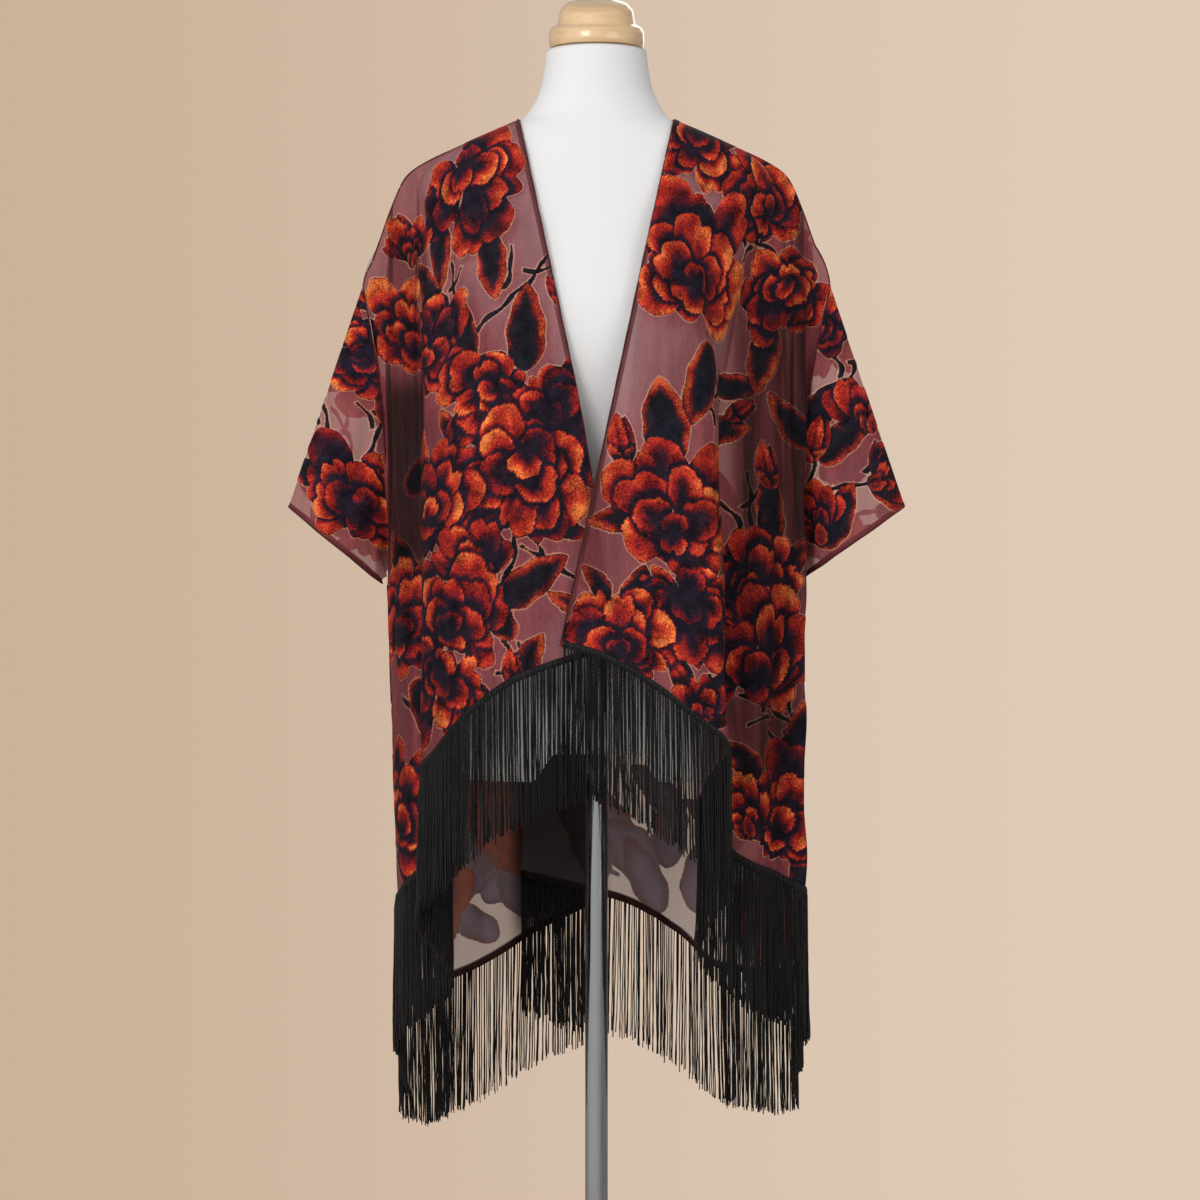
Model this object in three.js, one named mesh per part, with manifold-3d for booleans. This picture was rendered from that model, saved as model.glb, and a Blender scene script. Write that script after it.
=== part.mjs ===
// A short open kimono in sheer cloth with a long fringe, worn on a limbless dress form with a stand.
// Millimetres, +Z up, the front faces -Y, the origin is at the middle of the underside of the base.
import * as THREE from 'three';
import { mergeVertices } from 'three/addons/utils/BufferGeometryUtils.js';
import Module from 'manifold-3d';

// Driving sizes of the garment
const WALL = 1.3;                 // thickness of each cloth wall
const SEAM_GAP = 0.4;             // room left between two sewn pieces
const UNDERARM_ROOM = 1.8;        // and more at the underarm, where three of them meet
const NECK_POINT = { x: 86, z: 1393 };
const SHOULDER_TIP = { x: 213, z: 1338 };
const CUFF_TOP = { x: 338, z: 968 };
const TIP_ROUNDING = 20;          // how softly the top fold bends over the shoulder tip
const SHOULDER_SEAM = 276;        // from the neck point to the armhole, along the top fold
const NECK_ARC = 112;             // from the centre back to the neck point, round the neck
const NECKLINE_HEIGHT = 1397;     // of the back neckline
const UNDERARM_HEIGHT = 900;
const SIDE_HEM_HEIGHT = 498;      // of the hem at the side seams
const REST_GAP = 2.5;             // the cloth's clearance where it lies on the form
const CHEST_GAP = 3;              // and what is added to it below the shoulders
const CHEST_RISE = 12;            // how early below the top fold it has its full size
const SOFTNESS = 8;               // how softly lying cloth turns into hanging cloth
const SOFTNESS_RISE = 8;          // how early below the top fold that is at its softest
const ARRIVAL_BEND = 0.4;         // how softly a fold line bends where it starts to hang straight
const NECK_RISE = 1.5;            // how soon the neckline is at its height behind the neck point
const SIDE_FLARE = 1.5;           // how late the side seam swings out below the underarm
const NEARLY_ZERO = 0.001;

// Directions in which the walls of two sewn pieces meet: steepness of the mitre on the shoulder and down
// the sleeve's top fold, over which length it changes, and how it leans at the neck
const SHOULDER_MITRE = 0.4;
const SLEEVE_MITRE = 2.6;
const MITRE_START = 25;
const MITRE_LENGTH = 30;
const MITRE_FADE = 6;             // how soon above the underarm the armhole's mitre is whole
const NECK_MITRE = 0.6;
const UNDERARM_MITRE = 0.2;

// Driving sizes of the fringe
const HEADER_HEIGHT = 9;
const HEADER_THICKNESS = 2;
const HEADER_GAP = 0.9;
const STRAND_LENGTH = 154;
const STRAND_RADIUS = 0.95;
const STRAND_SPACING = 8.6;
const STRAND_SIDES = 3;
const STRAND_ROOT = 2.5;          // how far a strand reaches up into the header
const STRAND_UNEVENNESS = 3;      // how much longer or shorter than its size a strand can be
const HEADER_END_ROOM = 1.5;      // left free at both ends of a panel's hem

// Driving sizes of the stand
const POLE_RADIUS = 12.5;
const BASE_RADIUS = 150;
const BASE_THICKNESS = 9;
const FORM_UNDERSIDE = 670;
const ARCH_HEIGHT = 30;           // the hollow at the middle of the underside
const ARCH_HALF_WIDTH = 68;
const ARCH_FLAT = 44;             // half the width of the hollow's flat top
const NECK_TOP = 1468;
const CAP_GAP = 0.3;
const CAP_HEIGHT = 57;
const CAP_SLANT = 0.34;           // slope of the cap's top
const POLE_GAP = 0.3;

// The form, a row for each height: half width, depth to the front and to the back, squareness
const FORM_RINGS = [
  { z: 670, half: 158, front: 100, back: 90, power: 2.3 },
  { z: 715, half: 163, front: 104, back: 94, power: 2.3 },
  { z: 765, half: 164, front: 106, back: 95, power: 2.3 },
  { z: 820, half: 158, front: 104, back: 91, power: 2.25 },
  { z: 880, half: 143, front: 99, back: 84, power: 2.2 },
  { z: 940, half: 126, front: 94, back: 76, power: 2.15 },
  { z: 990, half: 121, front: 94, back: 74, power: 2.15 },
  { z: 1045, half: 128, front: 102, back: 80, power: 2.15 },
  { z: 1095, half: 138, front: 116, back: 89, power: 2.15 },
  { z: 1140, half: 147, front: 127, back: 97, power: 2.15 },
  { z: 1180, half: 153, front: 129, back: 103, power: 2.2 },
  { z: 1220, half: 161, front: 119, back: 107, power: 2.25 },
  { z: 1260, half: 173, front: 106, back: 108, power: 2.05 },
  { z: 1290, half: 187, front: 97, back: 106, power: 2.05 },
  { z: 1310, half: 192, front: 91, back: 103, power: 2.05 },
  { z: 1326, half: 190, front: 87, back: 100, power: 2.05 },
  { z: 1337, half: 185, front: 84, back: 97, power: 2.05 },
  { z: 1346, half: 175, front: 81, back: 94, power: 2.05 },
  { z: 1354, half: 164.5, front: 78, back: 91, power: 2.05 },
  { z: 1364, half: 143.5, front: 74, back: 87, power: 2.25 },
  { z: 1374, half: 121.5, front: 70, back: 83, power: 2.2 },
  { z: 1383, half: 100.5, front: 66, back: 78, power: 2.15 },
  { z: 1391, half: 83, front: 62, back: 73, power: 2.1 },
  { z: 1399, half: 76, front: 59, back: 69, power: 2.05 },
  { z: 1410, half: 69, front: 57, back: 65, power: 2 },
  { z: 1424, half: 62.5, front: 56, back: 61, power: 2 },
  { z: 1444, half: 58, front: 55, back: 57, power: 2 },
  { z: 1468, half: 55, front: 54, back: 54, power: 2 },
];

// The fold lines of each panel, in order across it. top: where the line starts, measured along the top
// edge (on a front from the neck point, on the back from the centre). hemX, hemY, hemZ: where it ends.
// arrive: the share of its length at which it hangs over its hem point. bow: how early it comes out to
// its hem depth. lift: how far it is held off the form at the hem by the layers under it.
const FRONT_OVER = [
  { name: 'front edge', top: 0, hemX: -38, hemY: -149, hemZ: 816, arrive: 1, bow: 6, lift: 7 },
  { name: 'centre', top: 7, hemX: 8, hemY: -151, hemZ: 802, arrive: 1, bow: 6, lift: 7 },
  { name: 'bust', top: 14, hemX: 54, hemY: -151, hemZ: 776, arrive: 1, bow: 5.5, lift: 5 },
  { name: 'before the fold', top: 23, hemX: 98, hemY: -149, hemZ: 743, arrive: 1, bow: 4.5, lift: 0 },
  { name: 'fold edge', top: 38, hemX: 137, hemY: -137, hemZ: 704, arrive: 1, bow: 3, lift: 0 },
  { name: 'fold valley', top: 66, hemX: 107, hemY: -84, hemZ: 640, arrive: 1, bow: 3, lift: 0 },
  { name: 'behind the fold', top: 92, hemX: 142, hemY: -67, hemZ: 591, arrive: 1, bow: 2.6, lift: 0 },
  { name: 'side front', top: 116, hemX: 174, hemY: -62, hemZ: 570, arrive: 1, bow: 2.6, lift: 0 },
  { name: 'side dip', top: 140, hemX: 195, hemY: -36, hemZ: 560, arrive: 1, bow: 3, lift: 0 },
  { name: 'side fold', top: 170, hemX: 225, hemY: -42, hemZ: 544, arrive: 0.6, bow: 5, lift: 0 },
  { name: 'behind the side', top: 226, hemX: 215, hemY: -12, hemZ: 520, arrive: 0.4, bow: 4, lift: 0 },
  { name: 'side seam', top: 276, hemX: 221, hemY: 26, hemZ: SIDE_HEM_HEIGHT, arrive: 1, bow: 4, lift: 0 },
];
const FRONT_UNDER = [
  { name: 'front edge', top: 0, hemX: 13, hemY: -138, hemZ: 812, arrive: 0.8, bow: 6, lift: 0 },
  { name: 'centre', top: 12, hemX: -38, hemY: -141, hemZ: 796, arrive: 0.9, bow: 6, lift: 0 },
  { name: 'bust', top: 30, hemX: -90, hemY: -144, hemZ: 775, arrive: 1, bow: 5, lift: 0 },
  { name: 'outer bust', top: 56, hemX: -137, hemY: -143, hemZ: 740, arrive: 1, bow: 3.6, lift: 0 },
  { name: 'before the fold', top: 82, hemX: -168, hemY: -136, hemZ: 702, arrive: 1, bow: 2.6, lift: 0 },
  { name: 'fold edge', top: 110, hemX: -183, hemY: -116, hemZ: 672, arrive: 1, bow: 2.2, lift: 0 },
  { name: 'fold valley', top: 144, hemX: -151, hemY: -72, hemZ: 602, arrive: 1, bow: 1, lift: 0 },
  { name: 'behind the fold', top: 176, hemX: -184, hemY: -55, hemZ: 572, arrive: 1, bow: 1, lift: 0 },
  { name: 'side rise', top: 212, hemX: -206, hemY: -40, hemZ: 549, arrive: 0.7, bow: 1.4, lift: 0 },
  { name: 'side fold', top: 246, hemX: -218, hemY: -8, hemZ: 524, arrive: 0.5, bow: 4, lift: 0 },
  { name: 'side seam', top: 276, hemX: -212, hemY: 26, hemZ: SIDE_HEM_HEIGHT, arrive: 1, bow: 4, lift: 0 },
];
const BACK = [
  { name: 'side seam', top: -388, hemX: -212, hemY: 26, hemZ: SIDE_HEM_HEIGHT, arrive: 1, bow: 4, lift: 0 },
  { name: 'side fold', top: -340, hemX: -217, hemY: 72, hemZ: 440, arrive: 0.6, bow: 3, lift: 0 },
  { name: 'side dip', top: -296, hemX: -190, hemY: 98, hemZ: 428, arrive: 1, bow: 5, lift: 0 },
  { name: 'outer ridge', top: -252, hemX: -158, hemY: 127, hemZ: 435, arrive: 1, bow: 6, lift: 12 },
  { name: 'outer valley', top: -202, hemX: -112, hemY: 126, hemZ: 459, arrive: 1, bow: 4, lift: 24 },
  { name: 'far layer', top: -156, hemX: -62, hemY: 133, hemZ: 490, arrive: 1, bow: 5, lift: 34 },
  { name: 'inner fold, far side', top: -112, hemX: -17, hemY: 129, hemZ: 512, arrive: 1, bow: 5, lift: 30 },
  { name: 'inner fold', top: -97, hemX: -6, hemY: 122, hemZ: 519, arrive: 1, bow: 5, lift: 24 },
  { name: 'inner fold, near side', top: -85, hemX: -15, hemY: 116, hemZ: 522, arrive: 1, bow: 5, lift: 18 },
  { name: 'outer fold, far side', top: -61, hemX: -73, hemY: 112, hemZ: 547, arrive: 1, bow: 5, lift: 13 },
  { name: 'outer fold', top: -51, hemX: -86, hemY: 105, hemZ: 551, arrive: 1, bow: 5, lift: 6 },
  { name: 'outer fold, near side', top: -42, hemX: -73, hemY: 99, hemZ: 549, arrive: 1, bow: 5, lift: 0 },
  { name: 'centre', top: -4, hemX: -14, hemY: 99, hemZ: 535, arrive: 1, bow: 5, lift: 0 },
  { name: 'near layer', top: 48, hemX: 42, hemY: 104, hemZ: 518, arrive: 1, bow: 5, lift: 0 },
  { name: 'right ridge', top: 106, hemX: 92, hemY: 122, hemZ: 486, arrive: 1, bow: 4, lift: 8 },
  { name: 'right valley', top: 168, hemX: 132, hemY: 112, hemZ: 450, arrive: 1, bow: 4, lift: 0 },
  { name: 'outer ridge', top: 230, hemX: 170, hemY: 122, hemZ: 440, arrive: 1, bow: 6, lift: 0 },
  { name: 'side dip', top: 290, hemX: 198, hemY: 92, hemZ: 440, arrive: 1, bow: 5, lift: 0 },
  { name: 'side fold', top: 340, hemX: 222, hemY: 68, hemZ: 452, arrive: 0.6, bow: 3, lift: 0 },
  { name: 'side seam', top: 388, hemX: 221, hemY: 26, hemZ: SIDE_HEM_HEIGHT, arrive: 1, bow: 4, lift: 0 },
];

// The armhole and the cuff of each sleeve: x is the distance from the middle of the garment
const ARMHOLE = { halfDepth: 13, centreY: 6, widestShare: 0.7, roundness: 0.8, sweep: 2.4 };
const CUFF = { run: 0.9, widestShare: 0.8, roundness: 0.7 };
const SLEEVE_CLEARANCE = 2.5;     // of a sleeve from its armhole, in seam gaps
const UNDERARM_SHARE = 0.45;      // the lowest share of the armhole, where it has more room
const SLEEVE_OPENING = 1.6;       // how late a sleeve opens out towards its cuff
const SLEEVES = {
  right: { sign: -1, underarmX: 229, innerX: 237, innerZ: 884, cuffHalfDepth: 32 },
  left: { sign: 1, underarmX: 223, innerX: 231, innerZ: 892, cuffHalfDepth: 32 },
};

// How finely each form is stepped
const UPPER_ROWS = 12;            // of a panel, above the underarm
const LOWER_ROWS = 7;             // and below it
const TOP_CROWDING = 2.4;         // how much closer the rows lie near the top fold
const COLUMN_WIDTH = 22;          // of the cloth between two columns
const SLEEVE_ROWS = 5;
const FORM_SIDES = 28;
const TURNED_SIDES = 24;

const lerp = (a, b, t) => a + (b - a) * t;
const clamp = (value, low, high) => Math.min(Math.max(value, low), high);

// The larger of two values, with a soft corner where they are alike.
function softMax(a, b, softness) {
  const near = Math.max(softness - Math.abs(a - b), 0) / softness;
  return Math.max(a, b) + near * near * softness / 4;
}

// A smooth curve through evenly numbered values, at position t.
function throughValues(values, t) {
  const last = values.length - 1;
  const i = Math.min(Math.floor(t), last - 1);
  const f = t - i;
  const b = values[i];
  const c = values[i + 1];
  const a = i > 0 ? values[i - 1] : 2 * b - c;
  const d = i + 2 <= last ? values[i + 2] : 2 * c - b;
  return b + 0.5 * f * (c - a + f * (2 * a - 5 * b + 4 * c - d + f * (3 * (b - c) + d - a)));
}

// The form's section at a height, between the rows of its table.
function formRing(z) {
  const height = clamp(z, FORM_RINGS[0].z, FORM_RINGS[FORM_RINGS.length - 1].z);
  let i = 0;
  while (i < FORM_RINGS.length - 2 && FORM_RINGS[i + 1].z < height) i += 1;
  const low = FORM_RINGS[i];
  const high = FORM_RINGS[i + 1];
  const t = (height - low.z) / (high.z - low.z);
  return {
    half: lerp(low.half, high.half, t),
    front: lerp(low.front, high.front, t),
    back: lerp(low.back, high.back, t),
    power: lerp(low.power, high.power, t),
  };
}

// How far the form reaches to one side (-1 front, 1 back) at a place, with a gap all round it.
function formDepth(x, z, side, gap) {
  const ring = formRing(z);
  const reach = (side < 0 ? ring.front : ring.back) + gap;
  const share = Math.abs(x) / (ring.half + gap);
  return share >= 1 ? 0 : reach * (1 - share ** ring.power) ** (1 / ring.power);
}

// The top fold from the neck point over the shoulder tip to the cuff, at a distance along it.
function topFold(distance) {
  const slopeX = SHOULDER_TIP.x - NECK_POINT.x;
  const slopeZ = SHOULDER_TIP.z - NECK_POINT.z;
  const slope = Math.hypot(slopeX, slopeZ);
  const fallX = CUFF_TOP.x - SHOULDER_TIP.x;
  const fallZ = CUFF_TOP.z - SHOULDER_TIP.z;
  const fall = Math.hypot(fallX, fallZ);
  const past = distance - slope;
  const fallen = (past + Math.hypot(past, TIP_ROUNDING)) / 2;
  const along = past - fallen;
  return {
    x: SHOULDER_TIP.x + slopeX / slope * along + fallX / fall * fallen,
    z: SHOULDER_TIP.z + slopeZ / slope * along + fallZ / fall * fallen,
  };
}

// The place where a fold line starts: on the top fold, or on the back neckline.
function topPoint(distance) {
  const sign = Math.sign(distance) || 1;
  const pastNeck = Math.abs(distance) - NECK_ARC;
  if (pastNeck >= 0) {
    const fold = topFold(pastNeck);
    return { x: sign * fold.x, y: 0, z: fold.z };
  }
  const angle = (1 - Math.abs(distance) / NECK_ARC) * Math.PI / 2;
  const ring = formRing(NECKLINE_HEIGHT);
  const share = Math.sin(angle) ** (2 / ring.power);
  const x = NECK_POINT.x * Math.cos(angle) ** (2 / ring.power);
  return {
    x: sign * x,
    y: (ring.back + REST_GAP) * share,
    z: lerp(NECK_POINT.z, NECKLINE_HEIGHT, Math.min(1, share * NECK_RISE)),
  };
}

// The sewn side of the body: above the underarm the armhole, front or back, and below it the side seam.
function sidePoint(sleeve, hemLine, t, side) {
  const top = topFold(SHOULDER_SEAM);
  const z = lerp(top.z, hemLine.hemZ, t);
  const down = clamp((top.z - z) / (top.z - UNDERARM_HEIGHT), 0, 1);
  const below = clamp((UNDERARM_HEIGHT - z) / (UNDERARM_HEIGHT - hemLine.hemZ), 0, 1);
  const spread = Math.sin(Math.PI * down ** ARMHOLE.widestShare) ** ARMHOLE.roundness;
  const armholeX = lerp(top.x, sleeve.underarmX, 1 - (1 - down) ** ARMHOLE.sweep);
  const hemX = Math.abs(hemLine.hemX);
  const y = lerp(ARMHOLE.centreY * down, hemLine.hemY, below);
  return {
    x: sleeve.sign * lerp(armholeX, hemX, below ** SIDE_FLARE),
    y: y + side * (ARMHOLE.halfDepth * spread + SEAM_GAP / 2),
    z,
  };
}

// Goes straight to its place and stays there, with a soft bend between.
function softArrival(t, arrive) {
  const bend = ARRIVAL_BEND * Math.min(1, (1 - t) / (1 - arrive));
  return 1 - softMax(1 - t / arrive, 0, bend + NEARLY_ZERO);
}

// One point of a fold line: t runs from the top edge to the hem.
function foldPoint(panel, line, t) {
  const top = panel.side < 0 ? topPoint(panel.sign * (NECK_ARC + line.top)) : topPoint(line.top);
  const z = lerp(top.z, line.hemZ, t);
  const x = lerp(top.x, line.hemX, line.arrive < 1 ? softArrival(t, line.arrive) : t);
  const hanging = panel.side * lerp(top.y, line.hemY, 1 - (1 - t) ** line.bow);
  const gap = REST_GAP + CHEST_GAP * Math.min(1, CHEST_RISE * t) + line.lift * t;
  const lying = formDepth(x, z, panel.side, gap);
  const softness = SOFTNESS * Math.min(1, SOFTNESS_RISE * t) + NEARLY_ZERO;
  const depth = t === 0 ? Math.abs(top.y) : softMax(hanging, lying, softness);
  return { x, y: panel.side * (depth + SEAM_GAP / 2), z };
}

// The line at any place across a panel, between the rows of its table.
function lineAt(lines, place) {
  const line = {};
  for (const key of ['top', 'hemX', 'hemY', 'hemZ', 'arrive', 'bow', 'lift']) {
    line[key] = throughValues(lines.map((row) => row[key]), place);
  }
  return line;
}

// One point of a panel: its fold lines, drawn in to the sewn side next to it.
function panelPoint(panel, place, t) {
  const { lines } = panel;
  const point = foldPoint(panel, lineAt(lines, place), t);
  const last = lines.length - 1;
  const seams = [[last, lines[last]], [0, lines[0]]].filter(([, line]) => line.name === 'side seam');
  for (const [at, seam] of seams) {
    const near = clamp(1 - Math.abs(place - at), 0, 1);
    const sewn = sidePoint(seam.hemX < 0 ? SLEEVES.right : SLEEVES.left, seam, t, panel.side);
    point.x = lerp(point.x, sewn.x, 1 - (1 - near) ** 3);
    point.y = lerp(point.y, sewn.y, near * near);
    point.z = lerp(point.z, sewn.z, near);
  }
  return new THREE.Vector3(point.x, point.y, point.z);
}

// The heights of the rows as shares of a line's length, crowded near the top fold.
function rowShares() {
  const top = topFold(SHOULDER_SEAM).z;
  const underarm = (top - UNDERARM_HEIGHT) / (top - SIDE_HEM_HEIGHT);
  const shares = [];
  for (let row = 0; row <= UPPER_ROWS; row += 1) {
    shares.push(underarm * (row / UPPER_ROWS) ** TOP_CROWDING);
  }
  for (let row = 1; row <= LOWER_ROWS; row += 1) {
    shares.push(lerp(underarm, 1, row / LOWER_ROWS));
  }
  return shares;
}

// The places of a panel's columns, in even steps between each two fold lines.
function columnPlaces(lines) {
  const places = [0];
  for (let i = 1; i < lines.length; i += 1) {
    const a = lines[i - 1];
    const b = lines[i];
    const hemWidth = Math.hypot(a.hemX - b.hemX, a.hemY - b.hemY, a.hemZ - b.hemZ);
    const steps = clamp(Math.round(Math.max(hemWidth, b.top - a.top) / COLUMN_WIDTH), 1, 4);
    for (let step = 1; step <= steps; step += 1) places.push(i - 1 + step / steps);
  }
  return places;
}

// The inner face of a panel, rows down and columns across.
function panelGrid(panel) {
  const places = columnPlaces(panel.lines);
  return rowShares().map((share) => places.map((place) => panelPoint(panel, place, share)));
}

// The direction out of the cloth at each point of a grid.
function gridNormals(grid, turn, wraps) {
  const rows = grid.length;
  const columns = grid[0].length;
  return grid.map((row, i) => row.map((_, j) => {
    const before = wraps ? (j + columns - 1) % columns : Math.max(j - 1, 0);
    const after = wraps ? (j + 1) % columns : Math.min(j + 1, columns - 1);
    const across = row[after].clone().sub(row[before]);
    const down = grid[Math.min(i + 1, rows - 1)][j].clone().sub(grid[Math.max(i - 1, 0)][j]);
    return across.cross(down).multiplyScalar(turn).normalize();
  }));
}

// A closed wall of even thickness between a grid and the same grid moved out along its normals.
function wallGeometry(grid, normals, thickness, wraps) {
  const rows = grid.length;
  const columns = grid[0].length;
  const positions = [];
  for (const moved of [0, thickness]) {
    grid.forEach((row, i) => row.forEach((point, j) => {
      const place = point.clone().addScaledVector(normals[i][j], moved);
      positions.push(place.x, place.y, place.z);
    }));
  }
  const index = [];
  const inner = (i, j) => i * columns + (j % columns);
  const outer = (i, j) => rows * columns + inner(i, j);
  const quad = (a, b, c, d) => index.push(a, b, c, a, c, d);
  const spans = wraps ? columns : columns - 1;
  for (let i = 0; i < rows - 1; i += 1) {
    for (let j = 0; j < spans; j += 1) {
      quad(outer(i, j), outer(i, j + 1), outer(i + 1, j + 1), outer(i + 1, j));
      quad(inner(i, j), inner(i + 1, j), inner(i + 1, j + 1), inner(i, j + 1));
    }
  }
  for (let j = 0; j < spans; j += 1) {
    quad(outer(0, j + 1), outer(0, j), inner(0, j), inner(0, j + 1));
    quad(outer(rows - 1, j), outer(rows - 1, j + 1), inner(rows - 1, j + 1), inner(rows - 1, j));
  }
  if (!wraps) {
    const end = columns - 1;
    for (let i = 0; i < rows - 1; i += 1) {
      quad(outer(i, 0), outer(i + 1, 0), inner(i + 1, 0), inner(i, 0));
      quad(outer(i + 1, end), outer(i, end), inner(i, end), inner(i + 1, end));
    }
  }
  return facingOut(positions, index);
}

// A geometry from points and triangles, turned so that its faces point out.
function facingOut(positions, index) {
  let volume = 0;
  const corner = (i) => new THREE.Vector3().fromArray(positions, 3 * index[i]);
  for (let i = 0; i < index.length; i += 3) {
    volume += corner(i).dot(corner(i + 1).cross(corner(i + 2)));
  }
  if (volume < 0) index.reverse();
  const geometry = new THREE.BufferGeometry();
  geometry.setAttribute('position', new THREE.Float32BufferAttribute(positions, 3));
  geometry.setIndex(index);
  return geometry;
}

// The side seams and the top fold are mitred, so that sewn neighbours meet edge to edge.
function mitrePanel(panel, grid, normals) {
  const top = topFold(SHOULDER_SEAM).z;
  const last = grid[0].length - 1;
  const edges = panel.side < 0 ? [[last, panel.sign]] : [[0, -1], [last, 1]];
  for (const [column, sign] of edges) {
    grid.forEach((row, i) => {
      const { z } = row[column];
      const opening = clamp((z - UNDERARM_HEIGHT) / (top - UNDERARM_HEIGHT) * MITRE_FADE, 0, 1);
      normals[i][column].set(sign, panel.side * opening, 0).normalize();
    });
  }
  grid[0].forEach((point, j) => {
    const past = clamp((Math.abs(point.x) - SHOULDER_TIP.x + MITRE_START) / MITRE_LENGTH, 0, 1);
    const lean = lerp(SHOULDER_MITRE, SLEEVE_MITRE, past);
    const onNeck = Math.abs(point.x) < NECK_POINT.x - 1;
    if (onNeck) normals[0][j].set(point.x / NECK_POINT.x, 1, NECK_MITRE).normalize();
    else normals[0][j].set(Math.sign(point.x) * lean, 0, 1).normalize();
  });
}

function buildPanel(panel) {
  const grid = panelGrid(panel);
  const normals = gridNormals(grid, panel.turn, false);
  mitrePanel(panel, grid, normals);
  return { grid, normals, geometry: wallGeometry(grid, normals, WALL, false) };
}

// A sleeve: a tube from the armhole to the cuff, its upper fold in line with the top fold.
function sleeveGrid(sleeve, hemLine) {
  const shares = rowShares().slice(0, UPPER_ROWS + 1);
  const armholeTop = topFold(SHOULDER_SEAM);
  const cuffTop = topFold(Math.hypot(SHOULDER_TIP.x - NECK_POINT.x, SHOULDER_TIP.z - NECK_POINT.z)
    + Math.hypot(CUFF_TOP.x - SHOULDER_TIP.x, CUFF_TOP.z - SHOULDER_TIP.z));
  const loop = [];
  shares.forEach((share) => loop.push({ share, side: -1 }));
  shares.slice(1, -1).reverse().forEach((share) => loop.push({ share, side: 1 }));
  const rows = [];
  for (let row = 0; row <= SLEEVE_ROWS; row += 1) {
    const t = row / SLEEVE_ROWS;
    rows.push(loop.map(({ share, side }) => {
      const start = sidePoint(sleeve, hemLine, share, side);
      const down = clamp((armholeTop.z - start.z) / (armholeTop.z - UNDERARM_HEIGHT), 0, 1);
      const isEnd = down <= 0 || down >= 1;
      const startY = isEnd ? ARMHOLE.centreY * down : start.y - side * SEAM_GAP / 2;
      const run = down ** CUFF.run;
      const bulge = Math.sin(Math.PI * Math.min(1, down ** CUFF.widestShare)) ** CUFF.roundness;
      const endX = sleeve.sign * lerp(cuffTop.x, sleeve.innerX, run);
      const endZ = lerp(cuffTop.z, sleeve.innerZ, run);
      const endY = ARMHOLE.centreY * down + side * (isEnd ? 0 : sleeve.cuffHalfDepth * bulge);
      const low = clamp((down - 1 + UNDERARM_SHARE) / UNDERARM_SHARE, 0, 1);
      const clear = SLEEVE_CLEARANCE * SEAM_GAP + UNDERARM_ROOM * low;
      const first = start.x + sleeve.sign * clear;
      return new THREE.Vector3(
        lerp(first, endX, t),
        lerp(startY, endY, t ** SLEEVE_OPENING),
        lerp(start.z, endZ, t),
      );
    }));
  }
  return rows;
}

function buildSleeve(sleeve, hemLine) {
  const grid = sleeveGrid(sleeve, hemLine);
  const normals = gridNormals(grid, sleeve.sign, true);
  const count = grid[0].length;
  grid[0].forEach((_, j) => {
    if (j === 0) normals[0][j].set(sleeve.sign * SLEEVE_MITRE, 0, 1).normalize();
    else if (j === UPPER_ROWS) normals[0][j].set(sleeve.sign * UNDERARM_MITRE, 0, -1).normalize();
    else normals[0][j].set(sleeve.sign, j < count / 2 ? -1 : 1, 0).normalize();
  });
  return wallGeometry(grid, normals, WALL, true);
}

// The form: a skin of rings, closed at the neck and at its arched underside.
function buildForm() {
  const heights = [];
  FORM_RINGS.forEach((ring, i) => {
    heights.push(ring.z);
    const next = FORM_RINGS[i + 1];
    if (next && next.z - ring.z > 52) heights.push((ring.z + next.z) / 2);
  });
  const positions = [];
  const index = [];
  heights.forEach((z) => {
    const ring = formRing(z);
    for (let i = 0; i < FORM_SIDES; i += 1) {
      const angle = i / FORM_SIDES * 2 * Math.PI;
      const c = Math.cos(angle);
      const s = Math.sin(angle);
      const reach = s < 0 ? ring.front : ring.back;
      const x = Math.sign(c) * ring.half * Math.abs(c) ** (2 / ring.power);
      const y = Math.sign(s) * reach * Math.abs(s) ** (2 / ring.power);
      positions.push(x, y, z === FORM_UNDERSIDE ? z + archAt(x) : z);
    }
  });
  for (let k = 0; k < heights.length - 1; k += 1) {
    for (let i = 0; i < FORM_SIDES; i += 1) {
      const a = k * FORM_SIDES + i;
      const b = k * FORM_SIDES + (i + 1) % FORM_SIDES;
      index.push(a, b, b + FORM_SIDES, a, b + FORM_SIDES, a + FORM_SIDES);
    }
  }
  capRing(index, 0, true);
  capRing(index, (heights.length - 1) * FORM_SIDES, false);
  return facingOut(positions, index);
}

// The shallow arch across the underside, from front to back.
function archAt(x) {
  const share = clamp((Math.abs(x) - ARCH_FLAT) / (ARCH_HALF_WIDTH - ARCH_FLAT), 0, 1);
  return ARCH_HEIGHT * (1 - share);
}

// Closes a ring with strips that join its front half to its back half.
function capRing(index, first, facesDown) {
  const half = FORM_SIDES / 2;
  for (let i = 0; i < half; i += 1) {
    const backA = first + i;
    const backB = first + i + 1;
    const frontA = first + (FORM_SIDES - i) % FORM_SIDES;
    const frontB = first + FORM_SIDES - i - 1;
    const faces = [];
    if (backA !== frontA) faces.push([backA, frontB, frontA]);
    if (backB !== frontB) faces.push([backA, backB, frontB]);
    faces.forEach(([a, b, c]) => (facesDown ? index.push(a, c, b) : index.push(a, b, c)));
  }
}

// Turned pieces stand on the Z axis.
function turned(profile) {
  const points = profile.map(([radius, height]) => new THREE.Vector2(radius, height));
  const geometry = new THREE.LatheGeometry(points, TURNED_SIDES);
  geometry.rotateX(Math.PI / 2);
  return geometry;
}

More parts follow.
